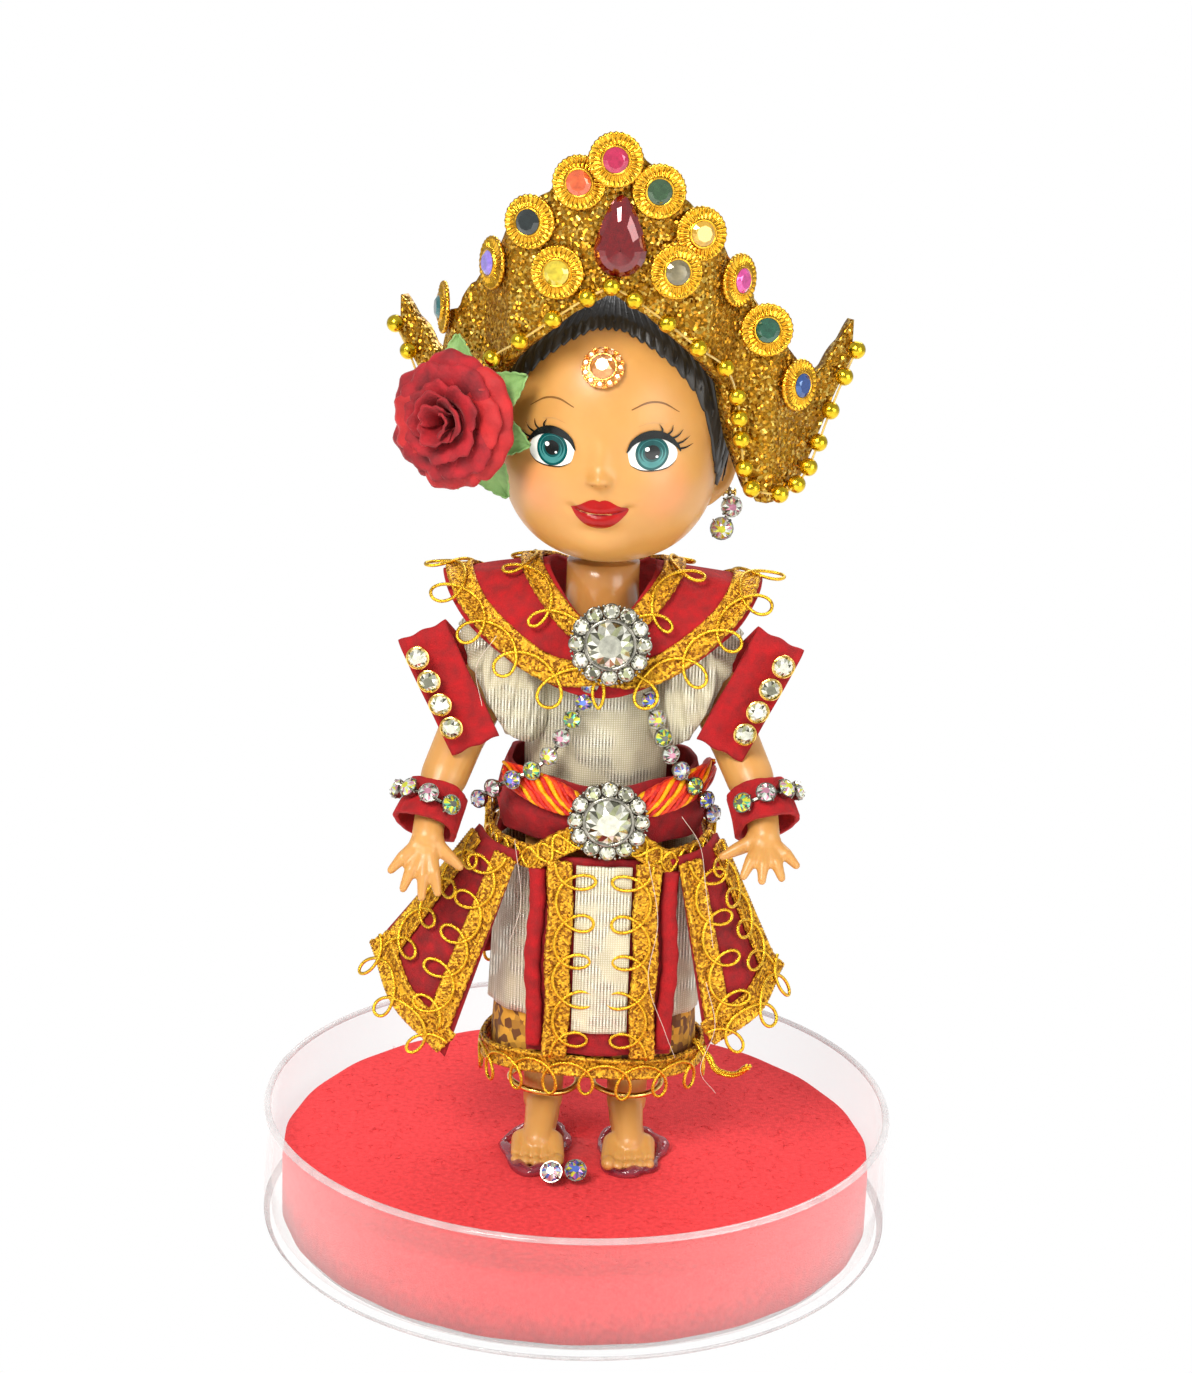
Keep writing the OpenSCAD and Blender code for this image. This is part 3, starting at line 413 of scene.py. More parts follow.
def length_of(path):
    return float(np.sum(np.linalg.norm(np.diff(path, axis=0), axis=1)))


def resample(path, n):
    path = np.asarray(path, float)
    s = np.concatenate([[0], np.cumsum(np.linalg.norm(np.diff(path, axis=0), axis=1))])
    at = np.linspace(0, s[-1], n)
    return np.stack([np.interp(at, s, path[:, k]) for k in range(path.shape[1])], axis=1)


def cut_stone(r, n=8, table=0.55, crown=0.38, girdle=0.1):
    """A round cut stone on +Z: table, star, kite and girdle facets, flat underneath."""
    a = TAU / n
    verts = [(share * r * math.cos(a * (i * step + shift)), share * r * math.sin(a * (i * step + shift)),
              up * r)
             for share, count, step, shift, up in (
                 (table, n, 1, 0, girdle + crown), (0.8, n, 1, 0.5, girdle + crown * 0.55),
                 (1, 2 * n, 0.5, 0, girdle), (1, 2 * n, 0.5, 0, 0)) for i in range(count)]
    g, h = 2 * n, 4 * n
    faces = [tuple(range(n))]
    for i in range(n):
        j = (i + 1) % n
        faces.append((i, n + i, j))
        faces.append((i, g + 2 * i, n + i))
        faces.append((n + i, g + (2 * i + 2) % (2 * n), j))
        faces.append((n + i, g + 2 * i, g + 2 * i + 1))
        faces.append((n + i, g + 2 * i + 1, g + (2 * i + 2) % (2 * n)))
    for i in range(2 * n):
        j = (i + 1) % (2 * n)
        faces.append((g + i, h + i, h + j, g + j))
    faces.append(tuple(h + i for i in range(2 * n))[::-1])
    return np.array(verts), faces


def baked(o):
    """The object with its modifiers applied."""
    dg = bpy.context.evaluated_depsgraph_get()
    me = bpy.data.meshes.new_from_object(o.evaluated_get(dg))
    o.modifiers.clear()
    o.data = me
    return o


def capsule(a, ra, b, rb, n=14):
    """A limb between two balls."""
    a, b = v3(*a), v3(*b)
    t = unit(b - a)
    k = 5
    path = [a - t * ra * math.cos(i * math.pi / 2 / k) for i in range(k)]
    rad = [ra * math.sin(i * math.pi / 2 / k) + 1e-3 for i in range(k)]
    path += [a, b]
    rad += [ra, rb]
    path += [b + t * rb * math.sin(i * math.pi / 2 / k) for i in range(1, k + 1)]
    rad += [rb * math.cos(i * math.pi / 2 / k) + 1e-3 for i in range(1, k + 1)]
    return tube(np.array(path), np.array(rad), n)


def fused(bag, name, mat, body, slot, replaces, voxel=0.3, smooth=6):
    """Joins overlapping pieces into one skin and smooths it."""
    o = bag.object(name, mat, body, slot, replaces)
    r = o.modifiers.new("skin", "REMESH")
    r.mode = "VOXEL"
    r.voxel_size = voxel * MM
    r.use_smooth_shade = True
    s = o.modifiers.new("smooth", "SMOOTH")
    s.iterations = smooth
    s.factor = 0.5
    baked(o)
    o.data.polygons.foreach_set("use_smooth", [True] * len(o.data.polygons))
    return o

# ---- Head ----

HEAD = v3(1.4, -2, 109.5)
HEAD_W, HEAD_D, HEAD_H = 13.9, 14.0, 16.5
YAW = math.radians(-5)
TURN = np.array([[math.cos(YAW), math.sin(YAW), 0], [-math.sin(YAW), math.cos(YAW), 0], [0, 0, 1]])
EYE_X, EYE_Z = 6.1, -1.6
MOUTH_Z = -9.3


def head_world(p):
    return np.asarray(p, float) @ TURN + HEAD


def bell(x, z, sx, sz):
    return np.exp(-(x / sx) ** 2 - (z / sz) ** 2)


def head_surface(lat, lon, grow=0.0, features=True):
    """Points of the head in its own frame, face towards -Y."""
    cl, sl = np.cos(lat), np.sin(lat)
    low = np.maximum(0, -sl)
    cl = np.where(sl < 0, (1 - low ** 2.4) ** (1 / 2.4), cl)
    x = HEAD_W * (1 + 0.07 * low) * cl * np.sin(lon)
    y = -HEAD_D * (1 + 0.04 * low) * cl * np.cos(lon) - 0.6 * low
    z = HEAD_H * (1 + 0.05 * low) * sl
    p = np.stack([x, y, z], -1)
    n = unit(p / v3(HEAD_W ** 2, HEAD_D ** 2, HEAD_H ** 2))
    d = np.full_like(x, grow)
    if features:
        ax, f = np.abs(x), np.clip(-y / 3, 0, 1)
        zz = z - MOUTH_Z
        smile = zz - 0.055 * x ** 2
        lift = 0.5 * bell(ax - 7.6, z + 6.6, 3.6, 3.2) + 0.7 * bell(x, z + 14.2, 3.8, 2.2)
        lift += -0.6 * bell(ax - EYE_X, z - EYE_Z, 3.2, 2.2) + 0.25 * bell(x, z - 8, 9, 6)
        lift += 1.45 * bell(x, z + 4.7, 1.15, 0.95) + 0.45 * bell(x, z + 2.6, 1.1, 2.2)
        lift += 0.4 * bell(ax - 1.05, z + 5.0, 0.5, 0.45) - 0.12 * bell(x, z + 6.6, 0.5, 0.8)
        lift += 0.55 * bell(x, smile - 0.75, 2.9, 0.65) + 0.7 * bell(x, smile + 0.85, 2.2, 0.8)
        lift += -0.35 * bell(x, smile, 3.0, 0.22) - 0.35 * bell(ax - 3.5, zz - 0.7, 0.6, 0.7)
        lift += -0.3 * bell(x, zz + 2.3, 2.2, 0.6)
        d = d + lift * f
    return p + n * d[..., None]


lat = np.radians(np.linspace(-89.99, 89.99, 200))
lon = np.linspace(-math.pi, math.pi, 260, endpoint=False)
LAT, LON = np.meshgrid(lat, lon, indexing="ij")
head_grid = head_world(head_surface(LAT, LON))
hv, hf = grid(head_grid, loop_u=True)
face_tree = BVHTree.FromPolygons([Vector(v) for v in hv], hf)
FORWARD = v3(0, -1, 0) @ TURN

# Skin with blushed cheeks
CHEEK, CHEEK_IN, CHEEK_OUT, BLUSH = v3(8.0, -11.6, -6.4), 0.0005, 0.0055, 0.34
s = Shader(SKIN)
near = [s.node("MapRange", 0, interpolation_type="SMOOTHSTEP", From_Min=CHEEK_IN, From_Max=CHEEK_OUT,
               To_Min=BLUSH, To_Max=0.0,
               Value=s.node("VectorMath", "Value", s.spot(), tuple(head_world(CHEEK * v3(side, 1, 1)) * MM),
                            operation="DISTANCE")) for side in (-1, 1)]
plain = s.main["Base Color"].links[0].from_socket
s.into(s.main["Base Color"], s.node("MixRGB", 0, s.node("Math", 0, *near), plain, (0.86, 0.26, 0.14)))

bag = Bag().add(hv, hf)
for side in (-1, 1):
    ear = [(side * 13.0, 1.6, -2.6), (side * 14.6, 2.6, -3.0), (side * 15.1, 3.0, -5.0),
           (side * 14.4, 2.4, -7.2),
           (side * 12.9, 1.4, -9.0), (side * 12.2, 0.9, -9.6)]
    bag.add(*tube(spline(head_world(ear), 24), np.interp(range(24), [0, 12, 18, 23], [0.9, 1.0, 1.15, 0.9]),
                  10))
    bag.add(*ball(head_world(v3(side * 13.2, 2.0, -5.4)), (1.5, 1.5, 2.8), 16))
fused(bag, "doll_head", SKIN, "head", "skin_vinyl", "head_shell", 0.22, 2)


def on_face(x, z, lift=0.03):
    """Point of the face at a place in its own X and Z, lifted off the skin."""
    start = head_world(v3(x, -40, z))
    hit, n, _, _ = face_tree.ray_cast(Vector(start), Vector(-FORWARD))
    if hit is None:
        return start
    n = np.array(n)
    if np.dot(n, FORWARD) < 0:
        n = -n
    return np.array(hit) + n * lift


def patch(bag, outline, lift, mat, rings=8, centre=None):
    """Paint with a closed outline, laid on the face."""
    o = resample(np.vstack([outline, outline[:1]]), 49)[:-1]
    c = np.mean(o, axis=0) if centre is None else np.asarray(centre, float)
    rows = [[on_face(*(c + (q - c) * max(k / rings, 0.02)), lift) for q in o] for k in range(rings + 1)]
    bag.add(*grid(np.array(rows), loop_u=True), mat)


def stroke(bag, points, widths, lift, mat, n=14):
    """A tapering brush stroke on the face."""
    p = spline2(points, n)
    t = unit(np.gradient(p, axis=0))
    side = np.stack([-t[:, 1], t[:, 0]], 1)
    w = np.interp(np.linspace(0, 1, n), np.linspace(0, 1, len(widths)), widths)
    rows = [[on_face(*(p[i] + side[i] * w[i] * s), lift + 0.02 * (1 - abs(s))) for i in range(n)]
            for s in (-.5, 0, .5)]
    bag.add(*grid(np.array(rows)), mat)


def paint(name, low, high, rough=0.25):
    return material(name, low, high, rough, 0.05, 600, bump=0.03, Specular_IOR_Level=0.3)


PAINTS = [paint("eye_white", (0.80, 0.80, 0.74), (0.9, 0.9, 0.85)),
          paint("iris_dark", (0.0, 0.05, 0.05), (0.0, 0.08, 0.08)),
          paint("iris_teal", (0.003, 0.05, 0.052), (0.006, 0.085, 0.085)),
          paint("iris_light", (0.03, 0.17, 0.17), (0.06, 0.26, 0.25)),
          paint("pupil_black", (0.004, 0.006, 0.006), (0.012, 0.014, 0.014)),
          paint("eye_shine", (0.9, 0.92, 0.92), (1, 1, 1)),
          paint("brow_brown", (0.16, 0.07, 0.02), (0.24, 0.11, 0.03)),
          paint("lid_shade", (0.50, 0.27, 0.10), (0.58, 0.33, 0.13)),
          paint("lip_red", (0.27, 0.004, 0.004), (0.38, 0.007, 0.006), 0.2),
          paint("lip_line", (0.16, 0.0, 0.005), (0.24, 0.0, 0.01))]


def oval2(cx, cz, rx, rz, n=40):
    return np.array([(cx + rx * math.cos(TAU * i / n), cz + rz * math.sin(TAU * i / n)) for i in range(n)])


face = Bag()
for side in (-1, 1):
    def at(x, z):
        return (side * (EYE_X + x), EYE_Z + z)
    # The white, with a rounded top and a flatter foot; x grows outwards
    white = [at(*q) for q in [(-2.9, 0.2), (-2.2, 1.3), (-1.0, 2.0), (0.4, 2.2), (1.7, 1.7), (2.7, 0.7),
                              (3.0, -0.3),
                              (2.5, -1.4), (1.2, -1.95), (-0.2, -2.05), (-1.6, -1.9), (-2.5, -1.3)]]
    patch(face, spline2(white + white[:1], 50)[:-1], 0.03, 0)
    cx, cz = at(0.0, -0.02)
    # Rim, iris, pupil and two lights: offset, half sizes, lift, paint, points, rings
    for dx, dz, rx, rz, up, tone, n, rings in [
            (0, 0, 1.98, 2.05, 0.05, 1, 40, 8), (0, -0.04, 1.66, 1.72, 0.07, 3, 40, 8),
            (0, 0.16, 1.52, 1.46, 0.09, 2, 40, 8), (0, -0.1, 1.28, 1.24, 0.105, 3, 40, 8),
            (0, 0.06, 1.14, 1.14, 0.12, 2, 40, 8), (0, 0.1, 0.9, 0.92, 0.135, 4, 40, 8),
            (-0.62, 0.5, 0.28, 0.28, 0.16, 5, 20, 3), (0.55, -0.45, 0.16, 0.14, 0.16, 5, 20, 3)]:
        patch(face, oval2(cx + dx, cz + dz, rx, rz, n), up, tone, rings)
    stroke(face, [at(*q) for q in [(-3.0, 0.1), (-2.3, 1.35), (-1.0, 2.15), (0.4, 2.35), (1.8, 1.85),
                                   (2.9, 0.8), (3.3, 0.1)]],
           [0.15, 0.6, 0.95, 1.0, 0.85, 0.55, 0.15], 0.15, 4, 26)
    stroke(face, [at(*q) for q in [(-2.5, -1.45), (-1.2, -2.05), (0.4, -2.12), (1.9, -1.8), (2.8, -1.0)]],
           [0.04, 0.12, 0.12, 0.12, 0.05], 0.13, 4, 18)
    for (x0, z0), (x1, z1), (x2, z2) in [((0.9, 2.4), (1.1, 2.9), (0.7, 3.6)),
                                         ((1.6, 2.1), (2.2, 2.7), (2.3, 3.4)),
                                         ((2.2, 1.7), (3.0, 2.1), (3.5, 2.8)),
                                         ((2.8, 1.0), (3.6, 1.3), (4.3, 1.9)),
                                         ((3.1, 0.4), (3.9, 0.5), (4.7, 0.9))]:
        stroke(face, [at(x0, z0), at(x1, z1), at(x2, z2)], [0.3, 0.2, 0.03], 0.14, 4, 8)
    stroke(face, [at(*q) for q in [(-1.7, 3.3), (-0.2, 3.75), (1.4, 3.6)]], [0.05, 0.16, 0.05], 0.04, 7)
    stroke(face, [at(*q) for q in [(-2.6, 5.3), (-0.7, 6.15), (1.1, 6.05), (3.0, 4.9)]],
           [0.12, 0.24, 0.2, 0.06], 0.05, 6, 20)

lips = [(-3.6, 0.75), (-2.4, 1.15), (-1.2, 1.75), (-0.5, 1.85), (0, 1.6), (0.5, 1.85), (1.2, 1.75),
        (2.4, 1.15), (3.6, 0.75),
        (2.7, -0.55), (1.5, -1.5), (0, -1.9), (-1.5, -1.5), (-2.7, -0.55)]
lips = spline2([(x, z + MOUTH_Z) for x, z in lips + lips[:1]], 64)[:-1]
patch(face, lips, 0.06, 8, 10)
stroke(face, [(x, z + MOUTH_Z) for x, z in [(-3.45, 0.72), (-1.7, 0.1), (0, -0.12), (1.7, 0.1),
                                            (3.45, 0.72)]],
       [0.05, 0.2, 0.22, 0.2, 0.05], 0.09, 9, 24)
for side in (-1, 1):
    stroke(face, [(side * 0.65, -5.55), (side * 1.0, -5.5)], [0.05, 0.28, 0.05], 0.04, 7, 8)
face.object("face_paint", PAINTS, "head", "skin_vinyl")

# ---- Hair ----


def hairline(lon):
    """Latitude of the hair's lower edge at each way round the head; 0 is the face."""
    a = np.abs(lon)
    edge = np.interp(np.degrees(a), [0, 12, 28, 42, 55, 64, 72, 84, 100, 125, 150, 180],
                     [52, 51, 43, 33, 20, 5, -12, -24, -16, -34, -42, -44])
    return np.radians(edge)


n_lon, n_row = 360, 46
lons = np.linspace(-math.pi, math.pi, n_lon, endpoint=False)
teeth = 0.5 + 0.5 * np.cos(lons * 62)
edge = hairline(lons) - np.radians(2.4) * np.sqrt(teeth)
rows = []
for k in range(n_row):
    t = k / (n_row - 1)
    la = edge + (math.radians(89.5) - edge) * t
    strand = 0.10 * np.sin(lons * 62) * (1 - t) + 0.08 * np.sin(lons * 130 + 4 * t)
    swell = 0.95 * min(1, 0.35 + 5 * t) + strand * min(1, 8 * t)
    q = head_surface(la, lons, 0.0, False)
    nn = unit(q / v3(HEAD_W ** 2, HEAD_D ** 2, HEAD_H ** 2))
    rows.append(q + nn * np.broadcast_to(swell, (n_lon,))[:, None])
under = head_surface(edge, lons, 0.0, False)
hair = Bag().add(*grid(head_world(np.array([under] + rows)), loop_u=True))
bun = []
for k in range(14):
    t = math.pi * k / 13
    bun.append([head_world(v3(5.0 * math.sin(t) * math.cos(a) * (1 + 0.04 * math.sin(9 * a + 5 * t)), 0, 0)
                           + v3(0, 14.6 - 4.2 * math.cos(t), -1 + 5.0 * math.sin(t) * math.sin(a)))
                for a in circle(48)])
hair.add(*grid(np.array(bun), loop_u=True))
# Swept locks over the cap, from the parting to the bun
for i in range(46):
    a0 = -2.6 + 5.2 * i / 45
    start = hairline(np.array([a0]))[0] + 0.02
    pts = []
    for t in np.linspace(0, 1, 12):
        la = start + (0.25 - start) * t ** 0.8 + math.sin(math.pi * t) * (0.75 if abs(a0) < 1.4 else 0.2)
        lo = a0 + (math.copysign(math.pi, a0 if a0 else 1) * 0.97 - a0) * t
        q = head_surface(np.array([min(la, 1.45)]), np.array([lo]), 0.85, False)[0]
        pts.append(head_world(q))
    hair.add(*tube(spline(pts, 30), 0.28 * np.sin(np.linspace(0.25, math.pi - 0.25, 30)), 6))
hair.object("hair_cap", HAIR, "head", "black_hair", "hair")

# ---- Crown ----

CROWN_T, CROWN_UP = 1.8, 36.5
CROWN = [
    (0.507, 1.000, (-0.04, -1.05), (-0.04, -1.05)), (0.445, 0.905, (0.24, -1.03), (-0.33, -1.02)),
    (0.355, 0.795, (0.53, -0.97), (-0.62, -0.96)), (0.275, 0.685, (0.78, -0.88), (-0.87, -0.85)),
    (0.205, 0.589, (0.94, -0.70), (-1.00, -0.62)), (0.014, 0.530, (1.04, -0.57), (-1.09, -0.46)),
    (-0.151, 0.466, (1.18, -0.50), (-1.24, -0.34)), (-0.205, 0.370, (1.38, -0.52), (-1.41, -0.22)),
    (-0.184, 0.260, (1.55, -0.35), (-1.47, 0.07)), (-0.118, 0.195, (1.69, -0.20), (-1.52, 0.33)),
    (-0.014, 0.184, (1.81, -0.10), (-1.60, 0.53)), (0.123, 0.266, (1.95, -0.02), (-1.74, 0.66)),
    (0.274, 0.370, (2.12, 0.05), (-1.96, 0.78)),
]
LAST = len(CROWN) - 1
_k = np.arange(-LAST, LAST + 1)
_low = np.array([CROWN[abs(k)][0] for k in _k])
_top = np.array([CROWN[abs(k)][1] for k in _k])
_plan = np.array([CROWN[abs(k)][3 if k < 0 else 2] for k in _k]) * HEAD_W


def crown_plan(k):
    return np.array([HEAD[0] + np.interp(k, _k, _plan[:, 0]), HEAD[1] + np.interp(k, _k, _plan[:, 1])])


def crown_normal(k):
    d = unit(crown_plan(min(LAST, k + 0.5)) - crown_plan(max(-LAST, k - 0.5)))
    return v3(d[1], -d[0], 0)


def crown_at(k, share, out):
    return v3(*crown_plan(k), HEAD[2] + CROWN_UP * share) + crown_normal(k) * out


steps = np.linspace(-LAST, LAST, 241)
low_edge = np.interp(steps, _k, _low)
top_edge = np.interp(steps, _k, _top)
ripple = 0.012 * np.abs(np.sin(np.pi * steps * 1.05))
rows = []
for v in np.linspace(0, 1, 22):
    rows.append([crown_at(k, lo + (hi + rp - lo) * v, -CROWN_T / 2)
                 for k, lo, hi, rp in zip(steps, low_edge - 0.02, top_edge, ripple)])
sheet = Bag().add(*slab(np.array(rows), CROWN_T))
sheet.object("crown_foam", GLITTER, "head", "glitter_foam", "crown_sheet")

BEAD_R = 1.15
bead_steps = [0, 0.65, 1.6, 2.55, 3.5, 4.35, 4.75, 5.15, 5.75, 6.5, 7.3, 8.15, 8.95, 9.75, 10.6, 11.4, 12]
bead_bag = Bag()
for side in (-1, 1):
    line = []
    for k in bead_steps:
        c = crown_at(side * k, np.interp(k, _k, _low) + 0.008, CROWN_T / 2 + BEAD_R)
        line.append(c)
        if k > 0 or side > 0:
            bead_bag.add(*ball(c, BEAD_R, 22), 0)
            t = crown_normal(side * k)
            bead_bag.add(*ball(c, (0.3, 0.3, 0.3), 8), 1)
    bead_bag.add(*tube(spline(line, 150), 0.15, 6), 1)
bead_bag.object("crown_bead_string", [BEAD, THREAD], "head", "gold_plated_plastic", "crown_beads")

BUTTON_R, CAB_R = 3.25, 1.5
BUTTONS = [  # place along the crown, share of its height, stand-off, stone colour, film; each button's tilt is random
    (0, 0.918, 1.2, (0.62, 0.02, 0.10), 0), (-1.0, 0.84, 0, (0.95, 0.16, 0.05), 0),
           (-2.4, 0.706, 0, (0.02, 0.03, 0.03), 0),
    (-3.95, 0.557, 0, (0.34, 0.25, 0.85), 460), (-7.4, 0.381, 0, (0.02, 0.16, 0.17), 0),
           (1.25, 0.82, 0, (0.05, 0.12, 0.05), 0),
    (2.55, 0.687, 0, (0.80, 0.45, 0.03), 0), (4.4, 0.53, 0, (0.90, 0.08, 0.42), 0),
           (6.7, 0.364, 0, (0.02, 0.12, 0.07), 0),
    (8.2, 0.172, 0, (0.04, 0.10, 0.35), 350), (-1.55, 0.55, 0, (0.85, 0.66, 0.04), 0),
           (1.75, 0.567, 1.2, (0.24, 0.20, 0.10), 0),
]


def fluted_button():
    """Gold button: beaded rim, fluted dish and a raised cup in the middle."""
    n = 144
    a = np.arange(n) * TAU / n
    flute = 0.5 + 0.5 * np.cos(a * 28)
    scallop = 1 + 0.018 * np.cos(a * 28)
    rings = [(0.3, 0.0, 0), (0.97, 0.05, 0), (1.0, 0.3, 0), (0.97, 0.52, 0), (0.92, 0.52, 0.1),
             (0.86, 0.34, 0.25),
             (0.7, 0.36, 0.28), (0.58, 0.5, 0.22), (0.54, 0.62, 0.05), (0.54, 0.95, 0), (0.47, 1.0, 0),
             (0.45, 0.8, 0), (0.02, 0.8, 0)]
    rows = []
    for r, z, amp in rings:
        rr = BUTTON_R * r * (scallop if r > 0.9 else 1)
        rows.append(np.stack([rr * np.cos(a), rr * np.sin(a), z + amp * flute + 0 * a], -1))
    return grid(np.array(rows), loop_u=True)


buttons, cabs, cab_mats = Bag(), Bag(), []
fb = fluted_button()
for i, (k, share, off, color, film) in enumerate(BUTTONS):
    n = crown_normal(k) + v3(rnd.uniform(-.05, .05), 0, rnd.uniform(-.02, .08))
    c = crown_at(k, share, CROWN_T / 2 + 0.3 + off)
    buttons.put(fb, c, n)
    cabs.put(cut_stone(CAB_R, 8, 0.66, 0.26, 0.1), c + unit(n) * 0.82, n, i)
    cab_mats.append(stone("cabochon_%d" % (i + 1), color, 0.12, film, 0.06, 0.25))
buttons.object("crown_flower_buttons", PLATED, "head", "gold_plated_plastic", "crown_buttons")
cabs.object("crown_stones", cab_mats, "head", "coloured_cabochon", "crown_cabochons", smooth=False)

# Teardrop gem: outline rings with facets
c = crown_at(0.2, 0.63, CROWN_T / 2 + 0.15)


def drop_outline(s, n=20):
    pts = []
    for i in range(n):
        a = -math.pi / 2 + TAU * i / n
        x, z = math.cos(a) * 3.15, math.sin(a) * 3.15
        if z > 0:
            t = z / 3.15
            x, z = x * (1 - 0.35 * t), z * 2.05
        pts.append((x * s, z * s))
    return pts


gem = Bag()
rows = [[c + v3(x, -y, z) for x, z in drop_outline(s)] for s,
        y in [(0.96, 0), (1, 0.5), (0.8, 1.25), (0.55, 1.75), (0.02, 1.85)]]
gem.add(*grid(np.array(rows), loop_u=True))
gem.object("crown_teardrop", stone("dark_red_gem", (0.24, 0.002, 0.006), 0.25, 0, 0.05, 0.3), "head",
           "dark_red_gem",
           "teardrop_gem", smooth=False)

# Forehead jewel: ring of small stones round a large one
centre = on_face(-0.2, 8.4, 0.05)
out = unit(centre - head_world(v3(0, 0, 2)))
jewel = Bag()
jewel.put(revolve([(0, 0), (2.55, 0), (2.6, 0.3), (1.7, 0.55), (1.7, 0.75), (0, 0.75)], 40), centre, out)
jewel.put(cut_stone(1.6, 8, 0.5, 0.5, 0.1), centre + out * 0.7, out, 1)
for i in range(11):
    a = TAU * i / 11
    jewel.put(cut_stone(0.5, 6, 0.5, 0.5, 0.15), place([spoke(2.15, a, 0.32)], centre, out)[0], out, 1)
    for b in (-0.24, 0.24):
        jewel.add(*ball(place([spoke(2.5, a + b, 0.4)], centre, out)[0], 0.2, 8), 0)
jewel.object("forehead_flower", [gold("orange_gold", (0.8, 0.3, 0.05), (1.0, 0.55, 0.15), 0.2),
                                 stone("orange_gem", (0.98, 0.42, 0.12), 0.35, 0)], "head", "orange_gem",
             "forehead_jewel", smooth=False)

# ---- Fabrics and trims ----

VELVET = velvet("red_velvet", (0.16, 0.001, 0.003), (0.34, 0.002, 0.006))
VELVET_BRIGHT = velvet("red_velvet_bright", (0.24, 0.0, 0.002), (0.42, 0.0005, 0.004))
FELT = material("red_felt", (0.64, 0.022, 0.028), (0.86, 0.045, 0.052), 0.95, 0.05, 1400, bump=0.8,
                bump_scale=4500,
                Sheen_Weight=0.12, Sheen_Roughness=0.5, Sheen_Tint=(1, 0.2, 0.2, 1))
BROCADE = brocade("silver_brocade", (0.38, 0.33, 0.20), (0.60, 0.54, 0.34))
BATIK = material("batik_cloth", (0.14, 0.045, 0.006), (0.66, 0.33, 0.03), 0.8, 0.1, 950, bump=0.3,
                 pattern="cells")
BRAID = material("gold_braid", (0.30, 0.11, 0.004), (0.88, 0.50, 0.03), 0.3, 0.14, 3000, 0.62, 0.9, 5200,
                 pattern="cells")
# Near-black brown material for the strip under the braid's plies: painted shade between the threads.
BRAID_SHADE = material("gold_braid_painted_shade", (0.05, 0.008, 0.001), (0.20, 0.06, 0.002), 0.6, 0.15, 2600, 0.3, 0.6,
                 pattern="cells")
CORD = material("gold_cord", (0.62, 0.32, 0.01), (0.92, 0.60, 0.05), 0.26, 0.12, 3200, 0.95, 0.6, 6000)
SASH = [material("sash_%d" % i, lo, hi, 0.5, 0.15, 2400, mt, 0.9, 4200) for i, (lo, hi, mt) in enumerate([
    ((0.62, 0.02, 0.0), (0.88, 0.07, 0.0), 0.0), ((0.85, 0.30, 0.0), (1.0, 0.52, 0.0),
                                                  0.4), ((0.42, 0.002, 0.0), (0.66, 0.012, 0.002), 0.05)])]
STRAY = material("stray_thread", (0.75, 0.55, 0.45), (0.9, 0.8, 0.7), 0.5, 0.1, 400, Transmission_Weight=0.3)

# The doll's middle, and the heights of its soles, hip pegs and shoulders
DX, SOLE, HIP, SH = 1.0, 10.4, 50.4, 79.4
VELVET_T, RIBBON_T, BROCADE_T, GATHER_T = 0.6, 0.7, 0.4, 0.35
PLIES, PLY_R, EDGE_R, CORD_R = 7, 0.27, 0.22, 0.23
SIDES = ((-1, "right"), (1, "left"))


def braid(bag, path, normal, width=3.2, loops=0, pitch=5.2, lift=0.25, closed=False, tall=2.4):
    """Gold trim along a path: a plait with a cord winding over it. Its loops hang on the side loops."""
    n = max(24, int(length_of(path) * 5))
    normal = np.broadcast_to(np.asarray(normal, float), np.shape(path))
    p, nn = resample(path, n), unit(resample(normal, n))
    if closed:
        p, nn = p[:-1], nn[:-1]
        n -= 1
    t, side, up = frames(p, nn, closed)
    total = length_of(p)
    s = np.linspace(0, total, n)
    turns = max(1, round(total / 3.0))
    h = width / 2 - 0.25
    # A flat strip under the plies in the near-black braid material: painted shade that shows between the
    # threads.
    flat = [p + side * (e * h) + up * (lift + z) for e, z in ((-1, 0.0), (-1, 0.16), (1, 0.16), (1, 0.0))]
    bag.add(*grid(np.array(flat), loop_u=closed, loop_v=True), 2)
    for k in range(PLIES):
        ph = s / total * turns + k / PLIES
        tri = 2 * np.abs(2 * (ph - np.floor(ph + 0.5))) - 1
        lat = h * np.sin(tri * math.pi / 2)
        hi = lift + 0.26 + 0.18 * np.cos(TAU * 2 * ph)
        q = p + side * lat[:, None] + up * hi[:, None]
        bag.add(*tube(q, PLY_R, 5, closed, 0.8, up), 0)
    for e in (-1, 1):
        wob = 0.05 * np.sin(s * 5)
        bag.add(*tube(p + side * (e * (h + 0.05) + wob)[:, None] + up * (lift + 0.15), EDGE_R, 5, closed), 0)
    # The cord: a sine without loops, a curtate-to-prolate wave with them
    m = int(total / pitch * 36)
    count = max(1, round(total / pitch))
    ph = np.linspace(0, TAU * count, m) + (0.0 if loops else 0.8)
    if loops:
        x = ph / (TAU * count) * total + tall * np.sin(ph) * 0.95
        y = -tall * 1.08 * np.cos(ph) + width / 2 + tall * 0.12
        y = y * (1 + 0.06 * np.sin(ph * 0.37))
    else:
        x = ph / (TAU * count) * total
        y = (width / 2 - 0.3) * np.sin(ph)
    x = np.clip(x, 0, total)
    pt, st, ut = (np.stack([np.interp(x, s, q) for q in rows.T], 1) for rows in (p, side, up))
    sg = loops if loops else 1
    z = lift + 0.62 + 0.12 * np.sin(ph + 1)
    bag.add(*tube(pt + st * (sg * y)[:, None] + ut * z[:, None], CORD_R, 7), 1)
    if not loops:
        bag.add(*tube(pt - st * y[:, None] + ut * (z + 0.05)[:, None], CORD_R, 7), 1)


